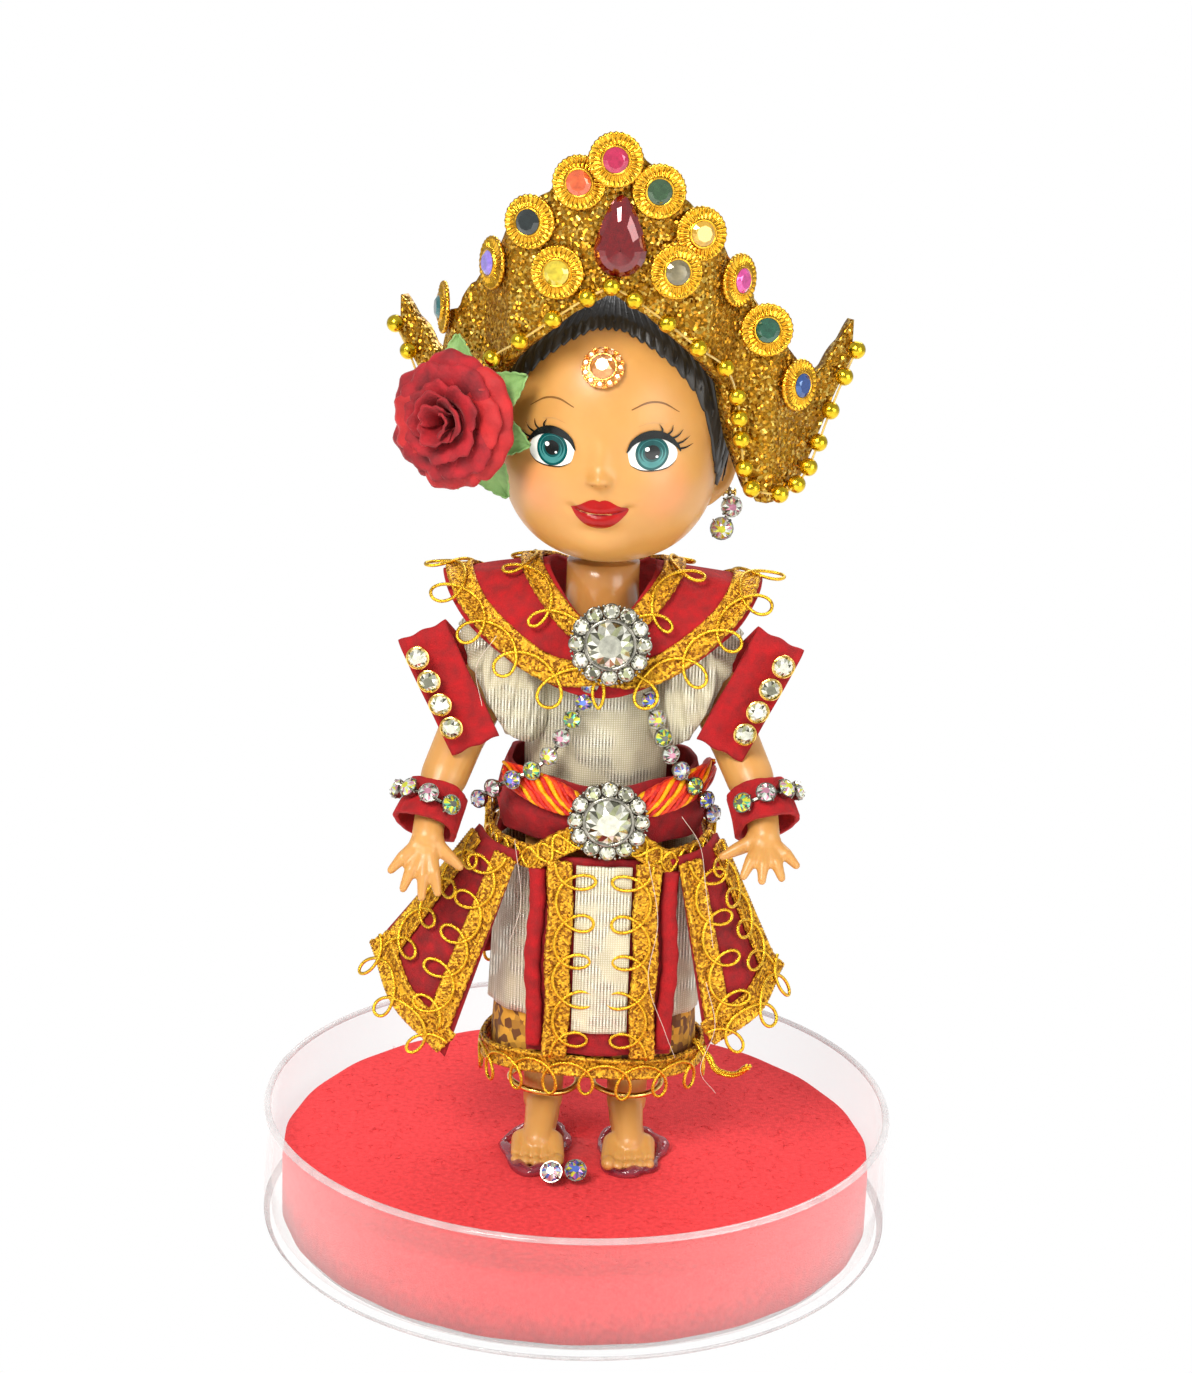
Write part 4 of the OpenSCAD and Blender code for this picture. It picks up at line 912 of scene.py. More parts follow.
def ring_of(c, w, d, z, n=120, start=0.0, end=TAU, closed=True):
    a = np.linspace(start, end, n, endpoint=not closed)
    return oval(c, w, d, z, a), np.stack([np.cos(a) / w, np.sin(a) / d, 0 * a], 1)


def girth(g, row):
    """Length round one row of a closed grid, in metres."""
    return length_of(np.vstack([g[row], g[row][:1]])) * MM


def trim(name, paint_bag, replaces=()):
    return paint_bag.object(name, [BRAID, CORD, BRAID_SHADE], "torso", "gold_braid", replaces)

# ---- Skirt ----

SK = (DX + 0.8, -0.5)
HEM, TOP = 23.8, 53.6


def skirt_point(s, a, out):
    w = np.interp(s, [0, 0.25, 0.6, 1], [13.2, 12.8, 12.4, 11.6]) + out
    d = np.interp(s, [0, 0.25, 0.6, 1], [9.6, 9.4, 9.2, 8.3]) + out
    droop = 1.1 * np.cos(a) ** 2 * (1 - s) ** 3
    return oval(SK, w, d, HEM + (TOP - HEM) * s - droop, a)


def skirt(name, lo, hi, out, t, folds, depth, mat, slot, cad, rows=26, cols=220):
    a = circle(cols)
    g = []
    for s in np.linspace(lo, hi, rows):
        f = depth * (1 - 0.6 * (s - lo) / (hi - lo)) * (0.6 * np.sin(folds * a + 2 * s)
                                                        + 0.4 * np.sin((folds * 2 + 1) * a + 1.3))
        g.append(skirt_point(s, a, out + f + depth))
    g = np.array(g)
    o = Bag().add(*slab(g, t, 1, True)).object(name, mat, "torso", slot, cad)
    girth(g, rows // 2)
    return o


skirt("batik_wrap_cloth", 0.0, 0.6, 0.0, 0.4, 9, 0.28, BATIK, "batik_cloth", "batik_wrap")
skirt("silver_overskirt", 0.27, 1.0, 0.85, 0.4, 12, 0.22, BROCADE, "silver_brocade", "overskirt")
hem = Bag()
path, nor = ring_of(SK, 14.4, 10.8, HEM + 1.7, 181, math.radians(100), math.radians(455), False)
path[:, 2] += 0.25 * np.sin(np.linspace(0, 19,
                                        181)) - 1.0 * np.cos(np.radians(np.linspace(100, 455, 181))) ** 2
braid(hem, path, nor, 2.9, 1, 4.9, 0.2, False, 2.1)
tail = spline([(15.4, -4.6, 27.0), (17.4, -6.4, 25.2), (18.6, -7.6, 23.9), (20.6, -8.8, 24.0),
               (22.6, -9.6, 25.6)], 40)
for k in range(3):
    tw = np.linspace(0, 9, 40) + k * TAU / 3
    hem.add(*tube(tail + np.stack([0.24 * np.cos(tw), 0 * tw, 0.24 * np.sin(tw)], 1), 0.26, 6), 1)
trim("hem_trim", hem, "hem_braid")

PC, PTOP, PLEN, PW = DX + 1.5, HIP + 4.2, 27.0, 19.0
PY = SK[1] - 9.6 - 2 * 0.85 - 0.5


def panel_point(x, z, out):
    x, z = np.asarray(x, float), np.asarray(z, float)
    y = PY - out + (x - PC) ** 2 / 60 - 0.35 * np.cos((x - PC) * 0.55) * (PTOP - z) / PLEN
    return np.stack([x, y + 0 * z, z + 0 * x], -1)


def front_piece(name, x0, x1, z0, z1, out, t, mat, slot, cad, cols=40, rows=50, edge=0.12):
    u, v = np.meshgrid(np.linspace(0, 1, cols), np.linspace(0, 1, rows))
    x = x0 + (x1 - x0) * u + edge * np.sin(v * 17 + x0) * np.where(u < 0.5, -1, 1) * np.abs(2 * u - 1) ** 3
    z = z0 + (z1 - z0) * v
    g = panel_point(x, z, out + 0.06 * np.sin(x * 2.1 + z * 0.4))
    o = Bag().add(*slab(g, -t)).object(name, mat, "torso", slot, cad)
    return o


front_piece("front_panel_velvet", PC - PW / 2, PC + PW / 2, PTOP - PLEN, PTOP, 0, 0.6, VELVET, "red_velvet",
            "front_panel")
inlay = Bag()
u, v = np.meshgrid(np.linspace(PC - 3.6, PC + 3.6, 30), np.linspace(PTOP - PLEN + 3.4, PTOP - 0.8, 60))
inlay.add(*slab(panel_point(u, v, 0.65 + 0.05 * np.sin(v * 3) * np.cos(u * 2)), -0.4))
o = inlay.object("front_inlay_brocade", BROCADE, "torso", "silver_brocade", "front_inlay")
fb_bag = Bag()
for side in (-1, 1):
    z = np.linspace(PTOP - 0.3, PTOP - PLEN - 0.2, 60)
    x = PC + side * (5.6 + 0.15 * np.sin(z * 0.5))
    fb_p = panel_point(x, z, 0.7)
    braid(fb_bag, fb_p, (0.0, -1, 0), 3.3, side, 5.2, 0.1, False, 2.3)
trim("front_panel_trim", fb_bag, "front_braids")
strips = Bag()
for side in (-1, 1):
    z = np.linspace(PTOP - 1.5, PTOP - PLEN + 1.0, 50)
    x = PC + side * (8.7 + 0.25 * np.sin(z * 0.35))
    strips.add(*tube(panel_point(x, z, 0.55), 1.05 + 0.08 * np.sin(z * 1.7), 14, False, 0.55, (0, -1, 0)))
strips.object("front_edge_rolls", VELVET_BRIGHT, "torso", "red_velvet")


def quad(q, u, v):
    return (q[3] * (1 - u) + q[2] * u) * (1 - v) + (q[0] * (1 - u) + q[1] * u) * v


def hip_point(q, u, v, out):
    u, v = np.asarray(u, float), np.asarray(v, float)
    p = quad(q[:, None, None, :] if u.ndim == 2 else q[:, None, :], u[..., None], v[..., None])
    sx = -1 if q[0][0] < 0 else 1
    b = 2.2 * np.sin(math.pi * u) * (1 - 0.4 * v) + 0.25 * np.sin(9 * u + 3) * (1 - v) + out
    return np.stack([DX + p[..., 0] + sx * b * 0.6, p[..., 1] - b * 0.8, HIP + p[..., 2]], -1)


def hip_normal(q, u, v, sx):
    """Outward normal of a hip panel, leaning with its bulge so that loops lie on it."""
    d = 0.02
    n = unit(np.cross(hip_point(q, u + d, v, 0) - hip_point(q, u - d, v, 0),
                      hip_point(q, u, v + d, 0) - hip_point(q, u, v - d, 0)))
    return n * np.sign(-n[..., 1:2])


RIGHT_Q = np.array([[-14.6, -4.4, 5.6], [-9.4, -11, 4.6], [-18.5, -12.5, -23.5], [-28, -5, -11]], float)
LEFT_Q = np.array([[15.6, -4.4, 5.6], [10.8, -11, 4.6], [15.5, -13, -20.5], [24.5, -5, -12]], float)
for q, nm in ((RIGHT_Q, "right"), (LEFT_Q, "left")):
    sx = -1 if nm == "right" else 1
    u, v = np.meshgrid(np.linspace(0, 1, 40), np.linspace(0, 1, 40))
    g = hip_point(q, u, v, 0)
    o = Bag().add(*slab(g, VELVET_T, -sx)).object(nm + "_hip_panel", VELVET, "torso", "red_velvet",
                                                  nm + "_peplum")
    b = Bag()
    e = 0.13
    line = np.linspace(0.97, e * 0.7, 40)
    for at, way, lean in ((0.14, sx, 0.12), (0.87, -sx, -0.12)):
        braid(b, hip_point(q, 0 * line + at, line, 0.75), hip_normal(q, 0 * line + at + lean, line, sx), 3.4,
              way, 5.0, 0.1, False, 2.2)
    line = np.linspace(0.0, 1.0, 40)
    braid(b, hip_point(q, line, 0 * line + 0.07, 0.75), hip_normal(q, line, 0 * line + 0.07, sx), 3.6, -sx,
          5.0, 0.15, False, 2.2)
    trim(nm + "_hip_panel_trim", b, nm + "_peplum_braid")


def back_point(a, v, out):
    w, d = 20.5 + (14.4 - 20.5) * v, 15 + (10.8 - 15) * v
    f = 0.5 * np.sin(a * 8) * (1 - v)
    return np.stack([SK[0] - (w + out + f) * np.sin(a), SK[1] + (d + out + f) * np.cos(a), HIP - 17 + 22 * v],
                    -1)


a, v = np.meshgrid(np.radians(np.linspace(-68, 68, 90)), np.linspace(0, 1, 30))
g = back_point(a, v, 0)
o = Bag().add(*slab(g, VELVET_T, -1)).object("back_hip_panel", VELVET, "torso", "red_velvet", "back_peplum")
length_of(g[0]) * MM
length_of(g[15]) * 22.6e-6
b = Bag()
aa = np.radians(np.linspace(-66, 66, 80))
braid(b, back_point(aa, 0 * aa + 0.09, 0.6), np.stack([-np.sin(aa), np.cos(aa), 0 * aa], 1), 3.4, 1, 4.6,
      0.1, False, 1.8)
for s in (-1, 1):
    vv = np.linspace(0.98, 0.05, 40)
    braid(b, back_point(0 * vv + s * math.radians(64), vv, 0.6), (-s * 0.9, 0.45, 0), 3.2, s, 4.4, 0.1, False,
          1.6)
trim("back_hip_panel_trim", b, "back_peplum_braid")

# ---- Bodice, waistband and sash ----

BC = (DX, 0.0)
bz = [9, 18, 23, 29, 30.5]
bw, bd = [8.6, 8.9, 8.85, 8.85, 8.85], [6.6, 7.4, 7.6, 7.0, 6.7]
BELT_Z, BELT_W, BELT_D = [5.8, 9.5, 14.6], [12.7, 13.4, 11.8], [9.7, 10.4, 8.8]
BELT = (DX + 0.8, -0.6)


def belt_size(zz):
    return np.interp(zz, BELT_Z, BELT_W), np.interp(zz, BELT_Z, BELT_D)


def body_front(x, z, extra=0.0):
    """Y of the dress's front at a place, whichever of bodice and waistband is further out."""
    zz = z - HIP
    w, d = np.interp(zz, bz, bw) + 1 + extra, np.interp(zz, bz, bd) + 1 + extra
    y = -d * math.sqrt(max(0, 1 - min(1, abs(x - DX) / w) ** 2))
    if zz < 15.5:
        w2, d2 = (size + 1.2 + extra for size in belt_size(zz))
        y = min(y, -0.6 - d2 * math.sqrt(max(0, 1 - min(1, abs(x - DX - 0.8) / w2) ** 2)))
    return y


a = circle(220)
g = []
for zz in np.linspace(9, 30, 40):
    w, d = np.interp(zz, bz, bw), np.interp(zz, bz, bd)
    f = 0.2 + 0.09 * np.sin(7 * a + zz * 0.35) + 0.05 * np.sin(13 * a - zz * 0.6)
    g.append(oval(BC, w + f, d + f, HIP + zz, a))
g = np.array(g)
o = Bag().add(*slab(g, BROCADE_T, 1, True)).object("bodice_brocade", BROCADE, "torso", "silver_brocade",
                                                   "bodice")
girth(g, 20)

for side, nm in SIDES:
    # Gathered cloth under the collar, puffed out in front of the shoulder
    g = []
    for v in np.linspace(0, 1, 34):
        row = []
        for i in range(90):
            t = TAU * i / 90
            r = v ** 0.75
            x = 10.6 + 3.9 * r * math.cos(t) + 1.7 * r * math.sin(t)
            z = -4.0 + 7.0 * r * math.sin(t)
            pleat = 0.38 * math.sin(2.3 * x + 0.5 * math.sin(z)) * (0.35
                                                                    + 0.65 * r) + 0.15 * math.sin(5.1 * x + z)
            back = 3.0 * v ** 4 * (0.55 - 0.45 * math.cos(t)) ** 1.5
            row.append((DX + side * x, -8.1 - pleat * (1 - 0.5 * v ** 4) + back + 0.02 * max(0, x - 9) ** 1.4,
                        SH + z))
        g.append(row)
    o = Bag().add(*slab(np.array(g), GATHER_T, side, True)).object(nm + "_shoulder_drape", BROCADE, None,
                                                               "silver_brocade")
    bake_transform(o)

g = []
for zz in np.linspace(5.8, 14.8, 30):
    t = (zz - 5.8) / 9
    w, d = belt_size(zz)
    f = 0.3 * np.sin(3 * a + 5 * t) * np.sin(math.pi * t) + 0.15 * np.sin(11 * a + 9 * t)
    low_front = 1.5 * np.clip(-np.sin(a), 0, 1) * t
    g.append(oval(BELT, w + f, d + f, HIP + zz + 0.3 * np.sin(5 * a) * t - low_front, a))
g = np.array(g)
o = Bag().add(*slab(g, VELVET_T, 1, True)).object("waistband_velvet", VELVET, "torso", "red_velvet",
                                                  "waistband")
girth(g, 15)
hb = Bag()
for side in (-1, 1):
    an = np.radians(np.linspace(270 - side * -8, 270 + side * 96, 70))
    t = np.linspace(0, 1, 70)
    z = HIP + np.interp(t, [0, 0.28, 0.6, 1], [7.4, 4.3, 3.9, 6.6]) + 0.2 * np.sin(t * 14)
    depth = np.interp(t, [0, 0.12, 0.3, 1], [11.2, 11.7, 13.0, 13.2])
    braid(hb, oval(BELT, 14.3, depth, z, an), oval((0, 0), 1, 1, 0, an), 3.2, 0, 4.0, 0.2)
an = np.radians(np.linspace(12, 168, 90))
braid(hb, oval(BELT, 14.3, 11.5, HIP + 7, an), oval((0, 0), 1, 1, 0, an), 3.2, 0, 4.0, 0.2)
trim("hip_braid", hb)

for side, nm in SIDES:
    b = Bag()
    n = 60
    t = np.linspace(0, 1, n)
    for k in range(11):
        x = DX + 1.8 + side * (3.6 + 10.2 * t)
        turn = t * 6.5 + k * TAU / 11 + 0.16 * np.sin(t * 23 + 2.1 * k)
        z = HIP + 11.2 + 2.4 * t ** 0.8 + 1.75 * np.sin(turn) * np.sin(math.pi * (0.12 + 0.8 * t)) ** 0.5
        y = np.array([body_front(xx, zz, 0.75 + 0.55 * math.cos(tt)) for xx, zz, tt in zip(x, z, turn)])
        thick = 0.6 * np.sin(math.pi * (0.16 + 0.72 * t)) ** 0.6 * (1 + 0.12 * np.sin(t * 40 + 3 * k))
        b.add(*tube(np.stack([x, y, z], 1), thick, 8, False, 0.62), (0, 2, 1, 0, 2, 0, 1, 2, 1, 0, 2)[k])
    b.object(nm + "_twisted_sash", SASH, "torso", "orange_sash", nm + "_sash")

# ---- Collar ----

HALF = [  # inner edge, outer edge and outward direction, front to back on the doll's left
    ((0, -8.6, 5.0), (0, -9.8, -4.0), (0, -0.97, 0.25)),
        ((2.8, -8.2, 6.4), (6.2, -9.9, -2.4), (0.1, -0.93, 0.35)),
    ((5.0, -6.6, 9.0), (12.2, -9.0, 0.8), (0.2, -0.75, 0.63)),
        ((6.4, -4.0, 10.8), (17.6, -6.2, 5.0), (0.15, -0.5, 0.85)),
    ((6.8, -1.4, 11.2), (20.2, -2.4, 8.8), (0.1, -0.1, 0.99)),
        ((6.6, 2.0, 11.2), (19.8, 3.0, 8.8), (0.1, 0.1, 0.99)),
    ((5.0, 4.8, 10.6), (13.5, 8.0, 5.0), (0.15, 0.5, 0.85)),
        ((2.6, 6.4, 9.8), (6.4, 9.8, 1.4), (0.1, 0.85, 0.5)),
    ((0, 6.9, 9.4), (0, 10.2, 0.4), (0, 0.9, 0.43)),
]
FLIP = np.array([-1, 1, 1])
ring = [np.array(HALF[len(HALF) - 1 - i]) * FLIP for i in range(len(HALF))] + [np.array(h)
                                                                               for h in HALF[1:-1]]
ring = np.array(ring)
N_C = 260


def collar_point(i, s, out):
    """Along the collar by share i, across it by s."""
    j = np.asarray(i) * len(ring)
    lo = np.floor(j).astype(int) % len(ring)
    f = (j - np.floor(j))[:, None, None]
    a, b, c, d = (ring[(lo + k) % len(ring)] for k in (-1, 0, 1, 2))
    st = 0.5 * (2 * b + (c - a) * f + (2 * a - 5 * b + 4 * c - d) * f * f + (3 * b - a - 3 * c + d) * f ** 3)
    s = np.broadcast_to(np.asarray(s, float), np.shape(i))[:, None]
    n = unit(st[:, 2])
    return st[:, 0] * (1 - s) + st[:, 1] * s + n * np.broadcast_to(np.asarray(out, float),
                                                                   np.shape(i))[:, None] + v3(DX, 0, SH), n


share = np.arange(N_C) / N_C
g = np.array([collar_point(share, s, 0.12 * np.sin(share * 90 + 6 * s))[0] for s in np.linspace(1, 0, 24)])
o = Bag().add(*slab(g, VELVET_T, 1, True)).object("collar_velvet", VELVET_BRIGHT, "torso", "red_velvet",
                                                  "collar")
b = Bag()
around = np.append(share, 0.0)
p, nrm = collar_point(around, 0.85 - 0.22 * np.exp(-((around - 0.5) / 0.045) ** 2), 0.75)
braid(b, p, nrm, 3.5, 1, 5.4, 0.0, True, 2.4)
trim("collar_outer_trim", b, "collar_outer_braid")
b = Bag()
p, nrm = collar_point(np.append(share, 0.0), 0.17, 0.75)
braid(b, p, nrm, 2.8, 1, 7.4, 0.0, True, 2.2)
trim("collar_inner_trim", b, "collar_inner_braid")

# ---- Jewellery on the dress ----


def cup(bag, at, z, r, sm=1, prongs=4, depth=None, metal=0):
    """A stone in a cup with claws."""
    depth = r if depth is None else depth
    bag.put(revolve([(0, 0), (r * 0.8, 0), (r * 0.98, depth * 0.5), (r * 1.02, depth * 0.8),
                     (r * 0.9, depth * 0.8), (0, depth * 0.7)], 20), at, z, metal)
    gem = cut_stone(r * 0.92, 8, 0.36, 0.5, 0.08)
    # Facets mix the stone's own colour with the lit material as a painted highlight, the smoke material as
    # painted shade, and other coat colours.
    tones = [(sm, 6, 5, sm, 1 + sm % 4, 7, 3, 6)[(i * i + 3 * i + sm) % 8] for i in range(len(gem[1]))]
    bag.put(gem, np.asarray(at) + unit(z) * depth * 0.72, unit(z), tones)
    for i in range(prongs):
        a = TAU * (i + 0.5) / prongs
        q = place([spoke(r * 0.98, a, depth * 0.5), spoke(r * 0.78, a, depth * 1.08)], at, unit(z))
        bag.add(*capsule(q[0], r * 0.13, q[1], r * 0.12, 6), metal)


def tones_of(faces, shift=0, first=0):
    """Which clear tone each facet shows: the plain stone, painted shade, painted highlight and a painted
    yellow-green reflection by turns.
    """
    return [first + (0, 2, 1, 0, 3, 2)[(i * 5 + i // 3 + shift) % 6] for i in range(len(faces))]


def brooch(name, at, tip, foot, cad_setting, cad_stones):
    z = v3(0, -math.cos(math.radians(tip)), math.sin(math.radians(tip)))
    s, g = Bag(), Bag()
    s.put(revolve([(0, -foot), (3.2, -foot), (3.7, -0.3), (4.6, 0), (4.8, 0.4), (3.3, 0.7), (3.35, 1.6),
                   (2.95, 1.75), (2.9, 1.3), (0, 1.3)], 64), at, z)
    gem = cut_stone(2.95, 12, 0.5, 0.42, 0.06)
    g.put(gem, at + z * 1.45, z, tones_of(gem[1]))
    for i in range(12):
        a = TAU * i / 12
        q = place([spoke(4.2, a, 0.5)], at, z)[0]
        s.put(revolve([(0, 0), (0.95, 0), (1.08, 0.8), (0.9, 0.85), (0, 0.6)], 18), q, z)
        gem = cut_stone(0.93, 6, 0.5, 0.5, 0.1)
        g.put(gem, q + z * 0.72, z, tones_of(gem[1], i))
        for b in (-0.2, 0.2):
            for ring_r, turn, up, size in ((5.0, 1, 1.3, 0.2), (3.4, 1.3, 1.5, 0.17)):
                s.add(*ball(place([spoke(ring_r, a + b * turn, up)], at, z)[0], size, 8))
    s.object(name + "_setting", SILVER, "torso", "grey_setting", cad_setting)
    g.object(name + "_stones", CLEAR, "torso", "clear_crystal", cad_stones, smooth=False)


brooch("collar_rosette", v3(DX + 1.2, -11.9, SH + 3.8), 4, 2.6, "collar_brooch_setting",
       "collar_brooch_stones")
brooch("belt_rosette", v3(DX + 1.8, -12.65, HIP + 9.9), 0, 1.2, "belt_brooch_setting", "belt_brooch_stones")

# Cup stone colours. The lit stone is only a painted highlight on facets; the smoke stone is a stone colour
# and also painted shade on facets.
AB = [stone("ab_" + n, c, 0.15, f, 0.04, 0.4) for n, c, f in (
    ("blue", (0.10, 0.22, 0.85), 420), ("green", (0.15, 0.75, 0.42), 520),
                                                              ("yellow", (0.95, 0.95, 0.05), 580),
    ("violet", (0.55, 0.25, 0.80), 380), ("smoke_and_shade", (0.16, 0.18, 0.14), 480), ("lit", (0.85, 0.95, 0.85), 500),
    ("rose", (0.75, 0.30, 0.45), 400))]


def chain(name, pts, order, cad):
    b = Bag()
    p = [v3(*q) for q in pts]
    b.add(*tube(spline(p, 80), 0.3, 6), 0)
    for i, q in enumerate(p):
        cup(b, q, unit(v3((q[0] - DX) * 0.05, -1, 0.05)), 1.2, 1 + order[i % len(order)], 4)
    b.object(name, [SILVER] + AB, "torso", "grey_cup_stone", cad, smooth=False)


chain("chest_chain_right", [(-0.2, -9.3, 77.3), (-0.8, -9.3, 74.9), (-2.2, -9.1, 72.4), (-3.4, -9.0, 69.9),
                            (-4.9, -9.0, 67.4),
                            (-6.9, -9.6, 65.6), (-9.3, -9.6, 64.3), (-11.8, -8.8, 62.8), (-13.6, -6.6, 60.6)],
      [0, 3, 1, 4, 2, 1, 3, 4, 0], "right_chain")
chain("chest_chain_left", [(7.3, -8.9, 75.2), (8.2, -9.2, 72.9), (9.1, -9.2, 70.5), (10.1, -9.0, 68.2),
                           (11.5, -8.8, 66.0),
                           (13.3, -8.4, 63.9), (14.9, -7.2, 61.7), (15.9, -5.4, 59.3)],
      [3, 2, 1, 4, 0, 1, 3, 0], "left_chain")

# ---- Body ----

b = Bag()
rows = []
for z, w, d, y in [(-4.9, 0.1, 0.1, 0), (-4.5, 3.2, 4.0, 0), (-2, 4.8, 5.2, 0), (5.2, 4.8, 5.6, 0),
                   (6.6, 7.8, 5.8, 0), (14, 8.0, 5.8, 0),
                   (23, 8.55, 6.35, 0), (28.5, 8.4, 5.9, 0), (31.4, 7.2, 5.1, -0.2), (33.2, 5.6, 4.7, -0.6),
                   (35, 4.85, 4.75, -1), (38, 4.72, 4.72, -1),
                   (41.0, 4.7, 4.7, -1), (41.15, 4.4, 4.4, -1), (41.25, 3.2, 3.2, -1), (43.4, 3.2, 3.2, -1),
                   (43.5, 0.1, 0.1, -1)]:
    a = circle(96)
    seam = 1 - 0.012 * np.exp(-((np.abs(np.sin(a))) / 0.05) ** 2)
    rows.append(oval((DX, y), w * seam, d * seam, HIP + z, a))
b.add(*grid(np.array(rows), loop_u=True))
b.object("torso_skin", BODY, "torso", "body_plastic", ["torso_front", "torso_back"])


def arm_point(side, p, drop):
    x, y, z = p
    if side > 0:
        x, y, z = x - 0.4 * drop, y - 0.6 * drop, z + 1.8 * drop
    return v3(DX - side * x, y, SH + z)


FINGERS = [(-26.0, -15.6, -26.4), (-24.2, -16.8, -28.6), (-21.6, -17.4, -29.6), (-19.4, -17.0, -29.0),
           (-16.6, -13.8, -26.2)]
LEFT_FINGERS = [(-25.6, -16.2, -25.2), (-23.6, -17.6, -26.6), (-20.9, -18.0, -27.0), (-18.4, -17.4, -26.6),
                (-15.6, -14.0, -25.0)]
B_DIR = unit(v3(-0.44, 0, 0.9))
for side, nm in SIDES:
    body = nm + "_arm"
    b = Bag()
    P = [arm_point(side, p, d) for p, d in [((-9.6, 0, 0), 0), ((-12.3, 0, -0.2), 0),
                                            ((-15.4, -1.7, -6.5), 0.2), ((-17.9, -3.4, -12), 0.4),
                                            ((-19.6, -6.8, -16.0), 0.7), ((-20.9, -9.6, -19.4), 1)]]
    for i, (ra, rb) in enumerate([(3.0, 3.5), (3.5, 3.5), (3.5, 3.2), (3.2, 3.1), (3.1, 2.3)]):
        b.add(*capsule(P[i], ra, P[i + 1], rb, 20))
    palm = arm_point(side, (-21.3, -12.6, -22.4), 1)
    b.add(*capsule(P[5], 2.1, palm, 2.0, 18))
    out = unit(np.cross(unit(palm - P[5]), v3(1, 0, 0)))
    for i, f in enumerate(FINGERS if side < 0 else LEFT_FINGERS):
        tip = arm_point(side, f, 1)
        root = palm + (tip - palm) * 0.22
        mid = palm + (tip - palm) * 0.62 + out * (0.5 if i < 4 else 0.1)
        r0 = 1.05 if i < 4 else 1.1
        b.add(*capsule(P[5] + (palm - P[5]) * 0.6, 1.5, root, r0 + 0.25, 12))
        b.add(*capsule(root, r0, mid, r0 * 0.8, 12))
        b.add(*capsule(mid, r0 * 0.8, tip + (palm - tip) * 0.08, r0 * 0.52, 12))
    fused(b, nm + "_arm_skin", SKIN, body, "skin_vinyl", nm + "_arm", 0.24, 3)

    # Band frame: X up along the ribbon, Z out of the sleeve's mouth
    X = v3(-side * B_DIR[0], 0, B_DIR[2])
    Z = v3(side * B_DIR[2], 0, B_DIR[0])
    Y = v3(0, 1, 0)
    O = arm_point(side, (-17.6, -3.0, -7.0), 0.3)

    def inband(x, y, z):
        return O + X * x + Y * y + Z * z

    outline = spline([(-4.7, -5.7, 0), (-2, -5.75, 0), (3, -5.8, 0), (9.6, -5.7, 0), (11.2, -5.3, 0),
                      (11.6, -4.3, 0), (9.6, -1.2, 0),
                      (6.6, 2.6, 0), (4.0, 4.9, 0), (0, 5.7, 0), (-4.6, 5.7, 0)], 90)
    g = []
    for j, z in enumerate(np.linspace(-3.3, 3.3, 18)):
        g.append([inband(x + 0.12 * math.sin(z * 2 + i * 0.2), y + 0.10 * math.sin(i * 0.3 + z), z) for i,
                  (x, y, _) in enumerate(outline)])
    g = np.array(g)
    o = Bag().add(*slab(g, RIBBON_T, side)).object(nm + "_sleeve_ribbon", VELVET_BRIGHT, body, "red_velvet",
                                              nm + "_arm_band")
    length_of(outline) * MM
    length_of(outline) * 6.6e-6
    st = Bag()
    for i in range(4):
        at = inband(-0.9 + 3.35 * i, -6.6, 1.5)
        zz = v3(0, -1, 0) + Z * 0.12
        st.put(revolve([(0, 0), (1.4, 0), (1.52, 0.35), (1.5, 0.75), (1.36, 0.85), (1.3, 0.6), (0, 0.55)],
                       32),
               at, zz)
        gem = cut_stone(1.3, 8, 0.5, 0.42, 0.05)
        st.put(gem, at + unit(zz) * 0.55, zz, tones_of(gem[1], i, 1))
    st.object(nm + "_sleeve_stones", [WIRE] + CLEAR, body, "gold_bezel_stone", nm + "_band_studs",
              smooth=False)

    # Brocade puff: a gathered dome with its mouth towards the ribbon
    C = arm_point(side, (-(9.7 + 3.5), -0.8, -1.6), 0)
    g = []
    for j, ph in enumerate(np.linspace(0.25, 2.02, 34)):
        row = []
        for i in range(120):
            t = TAU * i / 120
            r = 6.2 + 0.35 * math.sin(9 * t) * math.sin(ph) ** 2 + 0.15 * math.sin(17 * t + 2 * ph)
            q = C + (-Z * math.cos(ph) + X * math.sin(ph) * math.cos(t)
                     + Y * math.sin(ph) * math.sin(t) * 0.98) * r
            low = np.dot(q - C, X)
            q = q + X * (min(0.0, low) * 0.65)
            lim = DX + side * 9.8
            q[0] = max(q[0], lim) if side > 0 else min(q[0], lim)
            row.append(q)
        g.append(row)
    g = np.array(g)
    o = Bag().add(*slab(g, GATHER_T, -side, True)).object(nm + "_cap_puff", BROCADE, body, "silver_brocade",
                                                      nm + "_cap_sleeve")

